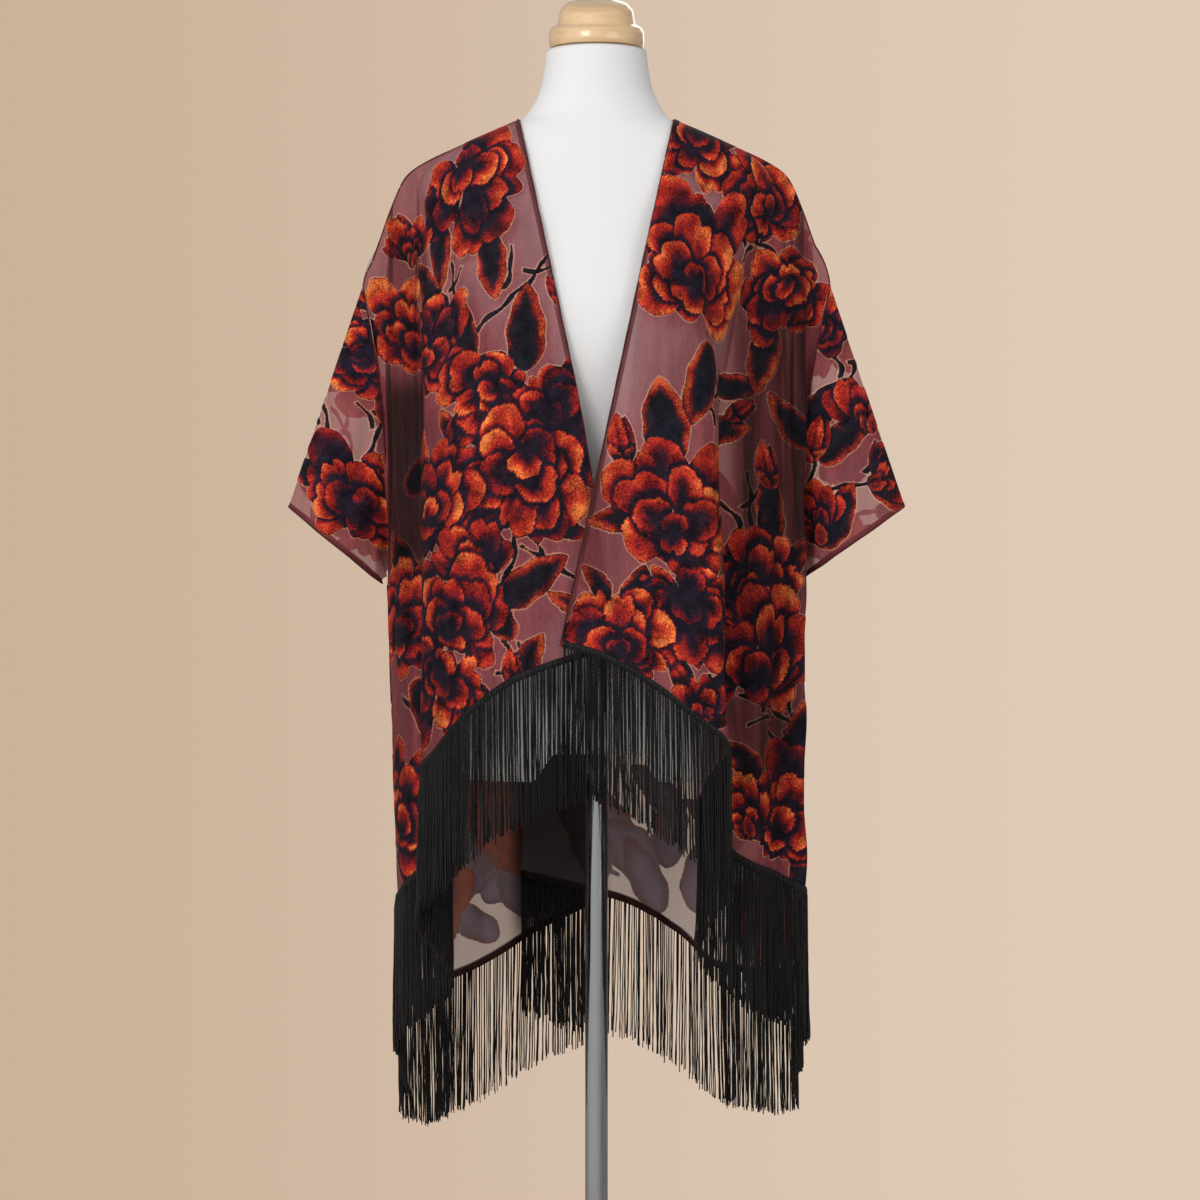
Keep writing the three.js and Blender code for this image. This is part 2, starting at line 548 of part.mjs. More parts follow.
// The neck cap, a row for each step of its outline, with its top sloping down to the front.
function buildCap() {
  const foot = NECK_TOP + CAP_GAP;
  const geometry = turned([
    [0, foot], [46, foot], [51, foot + 3], [52.5, foot + 10], [52.5, foot + 20], [50, foot + 26],
    [43, foot + 30], [42, foot + 34], [40, foot + 46], [33, foot + 53], [18, foot + 56.5],
    [0, foot + CAP_HEIGHT],
  ]);
  const place = geometry.attributes.position;
  for (let i = 0; i < place.count; i += 1) {
    const rise = (place.getZ(i) - foot) / CAP_HEIGHT;
    place.setZ(i, place.getZ(i) + place.getY(i) * CAP_SLANT * rise);
  }
  return geometry;
}

function buildPole() {
  const top = FORM_UNDERSIDE + ARCH_HEIGHT - CAP_GAP;
  const foot = BASE_THICKNESS + POLE_GAP;
  return turned([[0, foot], [POLE_RADIUS, foot], [POLE_RADIUS, top], [0, top]]);
}

function buildBase() {
  const edge = BASE_RADIUS;
  const top = BASE_THICKNESS;
  return turned([[0, 0], [edge - 2, 0], [edge, 2], [edge, top - 3], [edge - 3, top], [0, top]]);
}

const wasm = await Module();
wasm.setup();

function toSolid(geometry) {
  const bare = new THREE.BufferGeometry();
  bare.setAttribute('position', geometry.getAttribute('position').clone());
  if (geometry.index) bare.setIndex(geometry.index.clone());
  const merged = mergeVertices(bare, 1e-4);
  return new wasm.Manifold(new wasm.Mesh({
    numProp: 3,
    vertProperties: new Float32Array(merged.getAttribute('position').array),
    triVerts: new Uint32Array(merged.index.array),
  }));
}

function fromSolid(solid) {
  const mesh = solid.getMesh();
  const geometry = new THREE.BufferGeometry();
  geometry.setAttribute('position', new THREE.Float32BufferAttribute(mesh.vertProperties, mesh.numProp));
  geometry.setIndex(new THREE.BufferAttribute(new Uint32Array(mesh.triVerts), 1));
  return geometry;
}

// The outer face of a panel near its hem: a place on the hem, and one a header's height above it.
function hemTrack(built) {
  const { grid, normals } = built;
  const low = grid.length - 1;
  return grid[low].map((point, j) => {
    const above = grid[low - 1][j];
    const share = HEADER_HEIGHT / above.distanceTo(point);
    const out = normals[low][j];
    const outAbove = out.clone().lerp(normals[low - 1][j], share);
    const room = WALL + HEADER_GAP;
    return {
      hem: point.clone().addScaledVector(out, room),
      upper: point.clone().lerp(above, share).addScaledVector(outAbove, room),
      out,
      outAbove,
    };
  });
}

// A header strip along the hem, with strands that hang from it. Its roots are inside the strip.
function buildFringe(built) {
  const inset = endTrimmed(hemTrack(built), HEADER_END_ROOM);
  const grid = [inset.map(({ upper }) => upper), inset.map(({ hem }) => hem)];
  const normals = [inset.map(({ outAbove }) => outAbove), inset.map(({ out }) => out)];
  let fringe = toSolid(wallGeometry(grid, normals, HEADER_THICKNESS, false));
  for (const root of strandRoots(inset)) {
    const length = STRAND_LENGTH + STRAND_ROOT + STRAND_UNEVENNESS * Math.sin(root.order * 2.4);
    const strand = new THREE.CylinderGeometry(STRAND_RADIUS, STRAND_RADIUS, length, STRAND_SIDES);
    strand.rotateX(Math.PI / 2);
    strand.rotateZ(root.turn);
    strand.translate(root.x, root.y, root.z + STRAND_ROOT - length / 2);
    fringe = fringe.add(toSolid(strand));
  }
  return fromSolid(fringe);
}

// The track without a short stretch at each end.
function endTrimmed(track, room) {
  const trimmed = track.map((stop) => ({ ...stop, hem: stop.hem.clone(), upper: stop.upper.clone() }));
  const shorten = (end, next) => {
    const away = trimmed[next].hem.clone().sub(trimmed[end].hem).setLength(room);
    trimmed[end].hem.add(away);
    trimmed[end].upper.add(away);
  };
  shorten(0, 1);
  shorten(trimmed.length - 1, trimmed.length - 2);
  return trimmed;
}

// Evenly spaced places along the middle of the strip.
function strandRoots(track) {
  const middle = track.map(({ hem, out }) => hem.clone().addScaledVector(out, HEADER_THICKNESS / 2));
  const lengths = [0];
  for (let i = 1; i < middle.length; i += 1) {
    lengths.push(lengths[i - 1] + middle[i].distanceTo(middle[i - 1]));
  }
  const total = lengths[lengths.length - 1];
  const count = Math.floor((total - 2) / STRAND_SPACING);
  const roots = [];
  for (let order = 0; order <= count; order += 1) {
    const at = 1.5 + (total - 3) * order / count;
    let i = 0;
    while (i < lengths.length - 2 && lengths[i + 1] < at) i += 1;
    const place = middle[i].clone().lerp(middle[i + 1], (at - lengths[i]) / (lengths[i + 1] - lengths[i]));
    const turn = Math.atan2(track[i].out.y, track[i].out.x);
    roots.push({ x: place.x, y: place.y, z: place.z, turn, order });
  }
  return roots;
}

// Finishes
const velvet = { color: 0x6e2a28, roughness: 0.8, metalness: 0 };
const sheer = { color: 0x8a5654, roughness: 0.8, metalness: 0 };
const braid = { color: 0x1b191b, roughness: 0.6, metalness: 0 };
const linen = { color: 0xedecea, roughness: 0.9, metalness: 0 };
const maple = { color: 0xe8bd86, roughness: 0.25, metalness: 0 };
const steel = { color: 0x9a9ca0, roughness: 0.25, metalness: 1 };

const kimono = new THREE.Group();

function place(name, geometry, finish) {
  const mesh = new THREE.Mesh(geometry, new THREE.MeshStandardMaterial(finish));
  mesh.name = name;
  kimono.add(mesh);
}

const underSeam = FRONT_UNDER[FRONT_UNDER.length - 1];
const overSeam = FRONT_OVER[FRONT_OVER.length - 1];
const frontUnder = buildPanel({
  lines: FRONT_UNDER, side: -1, sign: -1, turn: 1,
});
const frontOver = buildPanel({
  lines: FRONT_OVER, side: -1, sign: 1, turn: -1,
});
const back = buildPanel({
  lines: BACK, side: 1, sign: 1, turn: 1,
});

place('kimono_front_under', frontUnder.geometry, velvet);
place('kimono_front_over', frontOver.geometry, velvet);
place('kimono_back', back.geometry, velvet);
place('kimono_sleeve_right', buildSleeve(SLEEVES.right, underSeam), sheer);
place('kimono_sleeve_left', buildSleeve(SLEEVES.left, overSeam), sheer);
place('fringe_front_under', buildFringe(frontUnder), braid);
place('fringe_front_over', buildFringe(frontOver), braid);
place('fringe_back', buildFringe(back), braid);
place('form_body', buildForm(), linen);
place('form_neck_cap', buildCap(), maple);
place('stand_pole', buildPole(), steel);
place('stand_base', buildBase(), steel);

export default kimono;
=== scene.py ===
"""A short open kimono of burnout velvet with a long black fringe, worn on a limbless dress form.

Lengths in the tables are in millimetres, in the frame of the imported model: +Z up, the front faces -Y.
"""
import math

import bpy
import numpy as np
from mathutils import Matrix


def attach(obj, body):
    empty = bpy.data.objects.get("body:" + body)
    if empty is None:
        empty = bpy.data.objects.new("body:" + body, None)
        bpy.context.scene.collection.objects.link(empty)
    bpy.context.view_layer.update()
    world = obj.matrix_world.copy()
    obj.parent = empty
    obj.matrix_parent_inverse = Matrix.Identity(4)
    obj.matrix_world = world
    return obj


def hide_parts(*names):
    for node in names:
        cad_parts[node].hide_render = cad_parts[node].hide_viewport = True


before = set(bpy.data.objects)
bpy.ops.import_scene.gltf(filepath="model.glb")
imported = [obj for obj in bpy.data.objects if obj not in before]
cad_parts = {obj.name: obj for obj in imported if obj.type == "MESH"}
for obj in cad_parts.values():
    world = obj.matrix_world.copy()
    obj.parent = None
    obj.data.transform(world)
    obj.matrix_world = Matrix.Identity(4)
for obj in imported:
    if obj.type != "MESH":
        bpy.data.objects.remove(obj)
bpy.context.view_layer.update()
rng = np.random.default_rng(11)

MM = 0.001

# The garment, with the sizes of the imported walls
WALL = 1.3
SEAM_GAP = 0.4
NECK_POINT = (86, 1393)
SHOULDER_TIP = (213, 1338)
CUFF_TOP = (338, 968)
TIP_ROUNDING = 20
SHOULDER_SEAM = 276
NECK_ARC = 112
NECKLINE_HEIGHT = 1397
UNDERARM_HEIGHT = 900
SIDE_HEM_HEIGHT = 498
REST_GAP = 2.5
CHEST_GAP = 3
SOFTNESS = 8
ARMHOLE_HALF_DEPTH = 13
ARMHOLE_CENTRE = 6
SLEEVE_OPENING = 1.6
CLOTH_LIFT = 0.5        # the sheer ground lies this far out in its wall
PILE_HEIGHT = 0.8       # and the velvet pile stands this much above it
HEM_WIDTH = 5
LOW_HEM_WIDTH = 9.5
LOW_HEM_ROWS = 12       # the grid's rows that the low hem is painted on
NECK_HEM_ROWS = 8
FRONT_HEM_SHARE = 0.93  # HEM_WIDTH over the real width of the hem along a front edge
PANEL_FACES = 84000     # quads in each panel, about
SLEEVE_STEP = 2.0
FRINGE_STEP = 1.1
FRINGE_INSET = 1.5
NO_PILE = -30.0         # how far outside any flower an unpainted place counts
FAR_FROM_HEM = 50.0

HEADER_HEIGHT = 9
HEADER_THICKNESS = 2
HEADER_GAP = 0.9
HEADER_SINK = 0.3
PLAIT_PITCH = 5.2
ROLL_RADIUS = 1.1       # the rolled hems, and how far out they lie
ROLL_LIFT = 0.6
SEAM_RADIUS = 0.9
STRAND_LENGTH = 154
STRAND_POINTS = 14
# Rows of strands: how far out they hang, their shift along the hem, their pitch as a share of the yarn's,
# and the least |x| of a root. The third hangs only at the sides, where the cloth and its fringe lie folded.
FRINGE_ROWS = [(1.6, 0.0, 1, 0), (0.6, 0.5, 2, 0), (1.1, 0.2, 0.6, 140)]
FRINGE_YARN = {"front_under": (2.5, 0.78), "front_over": (2.5, 0.78), "back": (3.1, 0.62)}  # pitch, radius

# The stand
POLE_RADIUS = 12.5
BASE_RADIUS = 150
BASE_THICKNESS = 9
FORM_UNDERSIDE = 670
ARCH_HEIGHT = 30
ARCH_HALF_WIDTH = 68
ARCH_FLAT = 44
ARCH_FADE = 60          # the arch is gone this far above the underside
NECK_TOP = 1468
CAP_GAP = 0.3

# The form: height, half width, depth to the front, depth to the back, squareness
FORM_RINGS = [
    (670, 158, 100, 90, 2.3), (715, 163, 104, 94, 2.3), (765, 164, 106, 95, 2.3),
    (820, 158, 104, 91, 2.25), (880, 143, 99, 84, 2.2), (940, 126, 94, 76, 2.15),
    (990, 121, 94, 74, 2.15), (1045, 128, 102, 80, 2.15), (1095, 138, 116, 89, 2.15),
    (1140, 147, 127, 97, 2.15), (1180, 153, 129, 103, 2.2), (1220, 161, 119, 107, 2.25),
    (1260, 173, 106, 108, 2.05), (1290, 187, 97, 106, 2.05), (1310, 192, 91, 103, 2.05),
    (1326, 190, 87, 100, 2.05), (1337, 185, 84, 97, 2.05), (1346, 175, 81, 94, 2.05),
    (1354, 164.5, 78, 91, 2.05), (1364, 143.5, 74, 87, 2.25), (1374, 121.5, 70, 83, 2.2),
    (1383, 100.5, 66, 78, 2.15), (1391, 83, 62, 73, 2.1), (1399, 76, 59, 69, 2.05),
    (1410, 69, 57, 65, 2), (1424, 62.5, 56, 61, 2), (1444, 58, 55, 57, 2), (1468, 55, 54, 54, 2),
]

# The fold lines of each panel: a name, where they start along its top edge, where they end at its hem
# (x, y, z), how early they hang over that place, how early they come out to their depth, and how far they
# are lifted.
FRONT_OVER = [
    ("front edge", 0, -38, -149, 816, 1, 6, 7),
    ("centre", 7, 8, -151, 802, 1, 6, 7),
    ("bust", 14, 54, -151, 776, 1, 5.5, 5),
    ("before the fold", 23, 98, -149, 743, 1, 4.5, 0),
    ("fold edge", 38, 137, -137, 704, 1, 3, 0),
    ("fold valley", 66, 107, -84, 640, 1, 3, 0),
    ("behind the fold", 92, 142, -67, 591, 1, 2.6, 0),
    ("side front", 116, 174, -62, 570, 1, 2.6, 0),
    ("side dip", 140, 195, -36, 560, 1, 3, 0),
    ("side fold", 170, 225, -42, 544, 0.6, 5, 0),
    ("behind the side", 226, 215, -12, 520, 0.4, 4, 0),
    ("side seam", 276, 221, 26, SIDE_HEM_HEIGHT, 1, 4, 0),
]
FRONT_UNDER = [
    ("front edge", 0, 13, -138, 812, 0.8, 6, 0),
    ("centre", 12, -38, -141, 796, 0.9, 6, 0),
    ("bust", 30, -90, -144, 775, 1, 5, 0),
    ("outer bust", 56, -137, -143, 740, 1, 3.6, 0),
    ("before the fold", 82, -168, -136, 702, 1, 2.6, 0),
    ("fold edge", 110, -183, -116, 672, 1, 2.2, 0),
    ("fold valley", 144, -151, -72, 602, 1, 1, 0),
    ("behind the fold", 176, -184, -55, 572, 1, 1, 0),
    ("side rise", 212, -206, -40, 549, 0.7, 1.4, 0),
    ("side fold", 246, -218, -8, 524, 0.5, 4, 0),
    ("side seam", 276, -212, 26, SIDE_HEM_HEIGHT, 1, 4, 0),
]
BACK = [
    ("side seam", -388, -212, 26, SIDE_HEM_HEIGHT, 1, 4, 0),
    ("side fold", -340, -217, 72, 440, 0.6, 3, 0),
    ("side dip", -296, -190, 98, 428, 1, 5, 0),
    ("outer ridge", -252, -158, 127, 435, 1, 6, 12),
    ("outer valley", -202, -112, 126, 459, 1, 4, 24),
    ("far layer", -156, -62, 133, 490, 1, 5, 34),
    ("inner fold, far side", -112, -17, 129, 512, 1, 5, 30),
    ("inner fold", -97, -6, 122, 519, 1, 5, 24),
    ("inner fold, near side", -85, -15, 116, 522, 1, 5, 18),
    ("outer fold, far side", -61, -73, 112, 547, 1, 5, 13),
    ("outer fold", -51, -86, 105, 551, 1, 5, 6),
    ("outer fold, near side", -42, -73, 99, 549, 1, 5, 0),
    ("centre", -4, -14, 99, 535, 1, 5, 0),
    ("near layer", 48, 42, 104, 518, 1, 5, 0),
    ("right ridge", 106, 92, 122, 486, 1, 4, 8),
    ("right valley", 168, 132, 112, 450, 1, 4, 0),
    ("outer ridge", 230, 170, 122, 440, 1, 6, 0),
    ("side dip", 290, 198, 92, 440, 1, 5, 0),
    ("side fold", 340, 222, 68, 452, 0.6, 3, 0),
    ("side seam", 388, 221, 26, SIDE_HEM_HEIGHT, 1, 4, 0),
]
# The sleeves: side of the garment, x of the underarm, inner end of the cuff (x, z), half the cuff's depth
SLEEVES = {
    "right": (-1, 229, 237, 884, 32),
    "left": (1, 223, 231, 892, 32),
}


def lerp(a, b, t):
    return a + (b - a) * t


def run_length(points, axis=0):
    """How far each point lies along its line of points."""
    steps = np.linalg.norm(np.diff(points, axis=axis), axis=-1)
    start = np.zeros_like(np.take(steps, [0], axis=axis))
    return np.concatenate((start, np.cumsum(steps, axis=axis)), axis=axis)


def resample(line, run, stops):
    return np.stack([np.interp(stops, run, line[:, k]) for k in range(3)], -1)


def unit(vectors):
    return vectors / np.maximum(np.linalg.norm(vectors, axis=-1, keepdims=True), 1e-9)


def soft_max(a, b, softness):
    near = np.maximum(softness - np.abs(a - b), 0) / softness
    return np.maximum(a, b) + near * near * softness / 4


def through_values(values, t):
    """A smooth curve through evenly numbered values, at positions t."""
    values = np.asarray(values, float)
    ends = np.concatenate(([2 * values[0] - values[1]], values, [2 * values[-1] - values[-2]]))
    i = np.clip(np.floor(t).astype(int), 0, len(values) - 2)
    f = t - i
    a, b, c, d = ends[i], ends[i + 1], ends[i + 2], ends[i + 3]
    return b + 0.5 * f * (c - a + f * (2 * a - 5 * b + 4 * c - d + f * (3 * (b - c) + d - a)))


def form_ring(z):
    """The form's section at each height: half width, front, back and squareness."""
    table = np.array(FORM_RINGS, float)
    heights = table[:, 0]
    z = np.clip(z, heights[0], heights[-1])
    i = np.clip(np.searchsorted(heights, z, side="right") - 1, 0, len(heights) - 2)
    step = heights[i + 1] - heights[i]
    f = (z - heights[i]) / step
    ring = []
    for values in table[:, 1:].T:
        slope = np.gradient(values, heights)
        ring.append((2 * f**3 - 3 * f**2 + 1) * values[i] + (f**3 - 2 * f**2 + f) * step * slope[i]
                    + (3 * f**2 - 2 * f**3) * values[i + 1] + (f**3 - f**2) * step * slope[i + 1])
    return ring


def form_depth(x, z, side, gap):
    half, front, back, power = form_ring(z)
    reach = (front if side < 0 else back) + gap
    share = np.minimum(np.abs(x) / (half + gap), 1)
    return reach * (1 - share**power) ** (1 / power)


def top_fold(distance):
    """The top fold from the neck point over the shoulder tip to the cuff."""
    slope = np.subtract(SHOULDER_TIP, NECK_POINT)
    fall = np.subtract(CUFF_TOP, SHOULDER_TIP)
    slope_length = np.hypot(*slope)
    past = distance - slope_length
    fallen = (past + np.hypot(past, TIP_ROUNDING)) / 2
    along = past - fallen
    slope = slope / slope_length
    fall = fall / np.hypot(*fall)
    return (SHOULDER_TIP[0] + slope[0] * along + fall[0] * fallen,
            SHOULDER_TIP[1] + slope[1] * along + fall[1] * fallen)


def top_point(distance):
    """Where fold lines start: on the top fold, or on the back neckline."""
    sign = np.where(distance < 0, -1, 1)
    past_neck = np.abs(distance) - NECK_ARC
    fold_x, fold_z = top_fold(np.maximum(past_neck, 0))
    angle = (1 - np.minimum(np.abs(distance) / NECK_ARC, 1)) * np.pi / 2
    _, _, ring_back, power = form_ring(np.array(float(NECKLINE_HEIGHT)))
    share = np.sin(angle) ** (2 / power)
    neck_x = NECK_POINT[0] * np.cos(angle) ** (2 / power)
    neck_z = lerp(NECK_POINT[1], NECKLINE_HEIGHT, np.minimum(1, share * 1.5))
    on_fold = past_neck >= 0
    return (sign * np.where(on_fold, fold_x, neck_x),
            np.where(on_fold, 0, (ring_back + REST_GAP) * share),
            np.where(on_fold, fold_z, neck_z))


def side_point(sleeve, hem, t, side):
    """The sewn side of the body: the armhole above the underarm, and the side seam below it."""
    sign, underarm_x = sleeve[:2]
    hem_x, hem_y, hem_z = hem
    top_x, top_z = top_fold(SHOULDER_SEAM)
    z = lerp(top_z, hem_z, t)
    down = np.clip((top_z - z) / (top_z - UNDERARM_HEIGHT), 0, 1)
    below = np.clip((UNDERARM_HEIGHT - z) / (UNDERARM_HEIGHT - hem_z), 0, 1)
    spread = np.maximum(np.sin(np.pi * down**0.7), 0) ** 0.8
    armhole_x = lerp(top_x, underarm_x, 1 - (1 - down) ** 2.4)
    x = sign * lerp(armhole_x, abs(hem_x), below**1.5)
    y = lerp(ARMHOLE_CENTRE * down, hem_y, below)
    return x, y + side * (ARMHOLE_HALF_DEPTH * spread + SEAM_GAP / 2), z


def fold_point(panel, line, t):
    top, hem_x, hem_y, hem_z, arrive, bow, lift = line
    side, sign = panel["side"], panel["sign"]
    top_x, top_y, top_z = top_point(sign * (NECK_ARC + top) if side < 0 else top)
    z = lerp(top_z, hem_z, t)
    bend = 0.4 * np.minimum(1, (1 - t) / np.maximum(1 - arrive, 1e-6))
    soft = 1 - soft_max(1 - t / arrive, 0, bend + 0.001)
    x = lerp(top_x, hem_x, np.where(arrive < 1, soft, t))
    hanging = side * lerp(top_y, hem_y, 1 - (1 - t) ** bow)
    gap = REST_GAP + CHEST_GAP * np.minimum(1, 12 * t) + lift * t
    lying = form_depth(x, z, side, gap)
    depth = soft_max(hanging, lying, SOFTNESS * np.minimum(1, 8 * t) + 0.01)
    depth = np.where(t == 0, np.abs(top_y), depth)
    return x, side * (depth + SEAM_GAP / 2), z


def panel_points(panel, places, shares):
    """The inner face of a panel's wall: rows down, columns across."""
    lines = panel["lines"]
    line = [through_values([row[k] for row in lines], places)[None, :] for k in range(1, 8)]
    t = shares[:, None]
    x, y, z = fold_point(panel, line, t)
    for at in (len(lines) - 1, 0):
        if lines[at][0] != "side seam":
            continue
        near = np.clip(1 - np.abs(places - at), 0, 1)[None, :]
        sleeve = SLEEVES["right" if lines[at][2] < 0 else "left"]
        sewn = side_point(sleeve, lines[at][2:5], t, panel["side"])
        x = lerp(x, sewn[0], 1 - (1 - near) ** 3)
        y = lerp(y, sewn[1], near * near)
        z = lerp(z, sewn[2], near)
    return np.stack([x, y, z], axis=-1)


def sleeve_points(sleeve, hem, loop, rows):
    """A sleeve's inner face: rows from the armhole to the cuff, columns round it from the top fold."""
    sign, _, inner_x, inner_z, cuff_half = sleeve
    side = np.where(loop < 1, -1, 1)[None, :]
    share = np.where(loop < 1, loop, 2 - loop)[None, :]
    top_x, top_z = top_fold(SHOULDER_SEAM)
    underarm = (top_z - UNDERARM_HEIGHT) / (top_z - hem[2])
    start_x, start_y, start_z = side_point(sleeve, hem, share * underarm, side)
    cuff_x, cuff_z = top_fold(np.hypot(*np.subtract(SHOULDER_TIP, NECK_POINT))
                              + np.hypot(*np.subtract(CUFF_TOP, SHOULDER_TIP)))
    down = np.clip((top_z - start_z) / (top_z - UNDERARM_HEIGHT), 0, 1)
    start_y = start_y - side * SEAM_GAP / 2
    run = down**0.9
    bulge = np.maximum(np.sin(np.pi * np.minimum(1, down**0.8)), 0) ** 0.7
    end_x = sign * lerp(cuff_x, inner_x, run)
    end_z = lerp(cuff_z, inner_z, run)
    end_y = ARMHOLE_CENTRE * down + side * cuff_half * bulge
    t = rows[:, None]
    x = lerp(start_x + sign * SEAM_GAP, end_x, t)
    return np.stack([x, lerp(start_y, end_y, t**SLEEVE_OPENING), lerp(start_z, end_z, t)], axis=-1)


def even_steps(values, points, axis, spacing):
    """Picks values along one axis of sampled points, evenly spaced along the longest line."""
    gaps = np.linalg.norm(np.diff(points, axis=axis), axis=-1).max(axis=1 - axis)
    run = np.concatenate(([0], np.cumsum(gaps)))
    count = max(int(np.ceil(run[-1] / spacing)), 2)
    return np.interp(np.linspace(0, run[-1], count + 1), run, values), run[-1]


def grid_normals(points, turn):
    across, down = np.gradient(points, axis=1), np.gradient(points, axis=0)
    return unit(np.cross(across, down) * turn)


class Cloth:
    """A sheet of cloth as a grid of points, with what its pattern puts at each of them."""

    def __init__(self, points, places, shares, turn, sign):
        self.points = points
        self.places = places
        self.shares = shares
        self.turn = turn
        self.sign = sign
        self.normals = grid_normals(points, turn)
        shape = points.shape[:2]
        self.pile = np.full(shape, NO_PILE)
        self.tone = np.ones(shape)
        self.leaf = np.zeros(shape)
        self.hem = np.full(shape, FAR_FROM_HEM)
        # Layers of cloth at each place, which also set the painted shade of folds and recesses
        self.layers = np.ones(shape)
        self.across = run_length(points[..., :2], 1)

    def find(self, x, z, seen_from):
        """The grid place nearest to (x, z), on the layer that is seen from that side."""
        away = np.hypot(self.points[..., 0] - x, self.points[..., 2] - z)
        near = away < max(away.min() + 1, 4)
        depth = np.where(near, self.points[..., 1] * seen_from, -1e9)
        return np.unravel_index(np.argmax(depth), depth.shape)

    def lay_out(self, row, column):
        """Flat coordinates on the cloth about one of its places, to the right and up."""
        steps = np.diff(self.points[:, column], axis=0)
        side = np.gradient(self.points, axis=1)[:, column]
        side[:, 2] = 0
        side = unit(side)
        drift = np.concatenate(([0], np.cumsum((steps * side[1:]).sum(axis=-1))))
        drift -= drift[row]
        right = self.across - self.across[:, column][:, None] + drift[:, None]
        return right * self.sign, self.points[..., 2] - self.points[row, column, 2]

    def paint(self, depth, tone, leaf):
        """Adds a motif of velvet pile: depth is how far inside its outline each point lies."""
        self.pile = np.maximum(self.pile, depth)
        inside = depth > 0
        self.tone[inside] = np.clip(tone[inside], 0, 1)
        self.leaf[inside] = leaf

    def push(self, relief):
        """Moves the cloth along its normals."""
        self.points = self.points + self.normals * relief[..., None]


def build_panel(panel):
    lines = panel["lines"]
    shares = np.linspace(0, 1, 500) ** 2
    places = np.linspace(0, len(lines) - 1, 60 * (len(lines) - 1) + 1)
    _, length = even_steps(shares, panel_points(panel, places[::20], shares), 0, 100)
    _, width = even_steps(places, panel_points(panel, places, shares[::25]), 1, 100)
    spacing = math.sqrt(length * width / PANEL_FACES)
    rows, _ = even_steps(shares, panel_points(panel, places[::20], shares), 0, spacing)
    columns, _ = even_steps(places, panel_points(panel, places, shares[::25]), 1, spacing)
    return Cloth(panel_points(panel, columns, rows), columns, rows, panel["turn"], panel["sign"])


def build_sleeve(sleeve, hem):
    loop = np.linspace(0, 2, 801)
    rows = np.linspace(0, 1, 61)
    loop, _ = even_steps(loop, sleeve_points(sleeve, hem, loop, rows), 1, SLEEVE_STEP)
    rows, _ = even_steps(rows, sleeve_points(sleeve, hem, loop, rows), 0, SLEEVE_STEP)
    return Cloth(sleeve_points(sleeve, hem, loop, rows), loop, rows, sleeve[0], 1)


# Creases: place at the upper and the lower end, share of the length at each, half width, depth
OVER_CREASES = [
    (9.3, 9.1, 0.02, 0.80, 4, 2.6), (9.55, 9.3, 0.02, 0.70, 2.6, -2.2), (9.8, 9.6, 0.02, 0.85, 4, 2.4),
    (10.1, 9.95, 0.05, 0.75, 3, -1.8), (6.4, 6.0, 0.16, 0.80, 9, 3.2), (6.9, 6.6, 0.12, 0.72, 5, -2.4),
    (7.6, 7.2, 0.10, 0.90, 8, 2.6), (4.6, 4.3, 0.42, 0.98, 7, 2.2), (3.1, 3.3, 0.36, 0.96, 12, 2.0),
    (1.8, 2.3, 0.50, 1.00, 9, -1.4), (0.6, 0.9, 0.55, 1.00, 7, 1.2), (5.4, 5.1, 0.40, 1.00, 8, -2.5),
    (8.3, 8.1, 0.25, 0.95, 6, -2.2),
]
UNDER_CREASES = [
    (7.4, 7.0, 0.10, 0.92, 8, -3.5), (7.9, 7.6, 0.08, 0.80, 5, 2.8), (8.4, 8.2, 0.05, 0.90, 6, -2.4),
    (6.5, 6.2, 0.15, 0.95, 7, 2.4), (5.2, 5.0, 0.35, 0.98, 9, 2.4), (3.4, 3.6, 0.42, 0.98, 12, 2.0),
    (2.2, 2.6, 0.45, 0.96, 9, -1.4), (1.1, 1.4, 0.55, 1.00, 8, 1.4), (9.1, 9.0, 0.04, 0.86, 4, 2.2),
    (5.8, 5.7, 0.30, 0.90, 6, -2.2),
]
BACK_CREASES = [
    (1.5, 1.5, 0.05, 0.95, 8, 3.0), (2.3, 2.2, 0.10, 0.85, 6, -2.4), (3.5, 3.4, 0.15, 0.98, 10, 3.0),
    (4.6, 4.5, 0.20, 0.90, 9, -2.6), (12.4, 12.3, 0.25, 0.95, 12, 2.4), (13.5, 13.4, 0.20, 0.98, 10, -2.6),
    (14.6, 14.5, 0.12, 0.92, 9, 3.0), (15.6, 15.5, 0.10, 0.97, 8, -2.4), (16.6, 16.6, 0.08, 0.90, 7, 2.6),
    (17.5, 17.5, 0.05, 0.95, 7, -2.2), (18.4, 18.4, 0.04, 0.88, 5, 2.4),
]
SLEEVE_CREASES = [
    (0.25, 0.22, 0.05, 1.00, 5, 2.4), (0.42, 0.40, 0.00, 0.95, 4, -2.2), (0.62, 0.60, 0.10, 1.00, 5, 2.0),
    (1.35, 1.38, 0.05, 1.00, 5, 2.4), (1.60, 1.62, 0.00, 0.95, 4, -2.2), (1.80, 1.80, 0.10, 1.00, 5, 2.0),
]


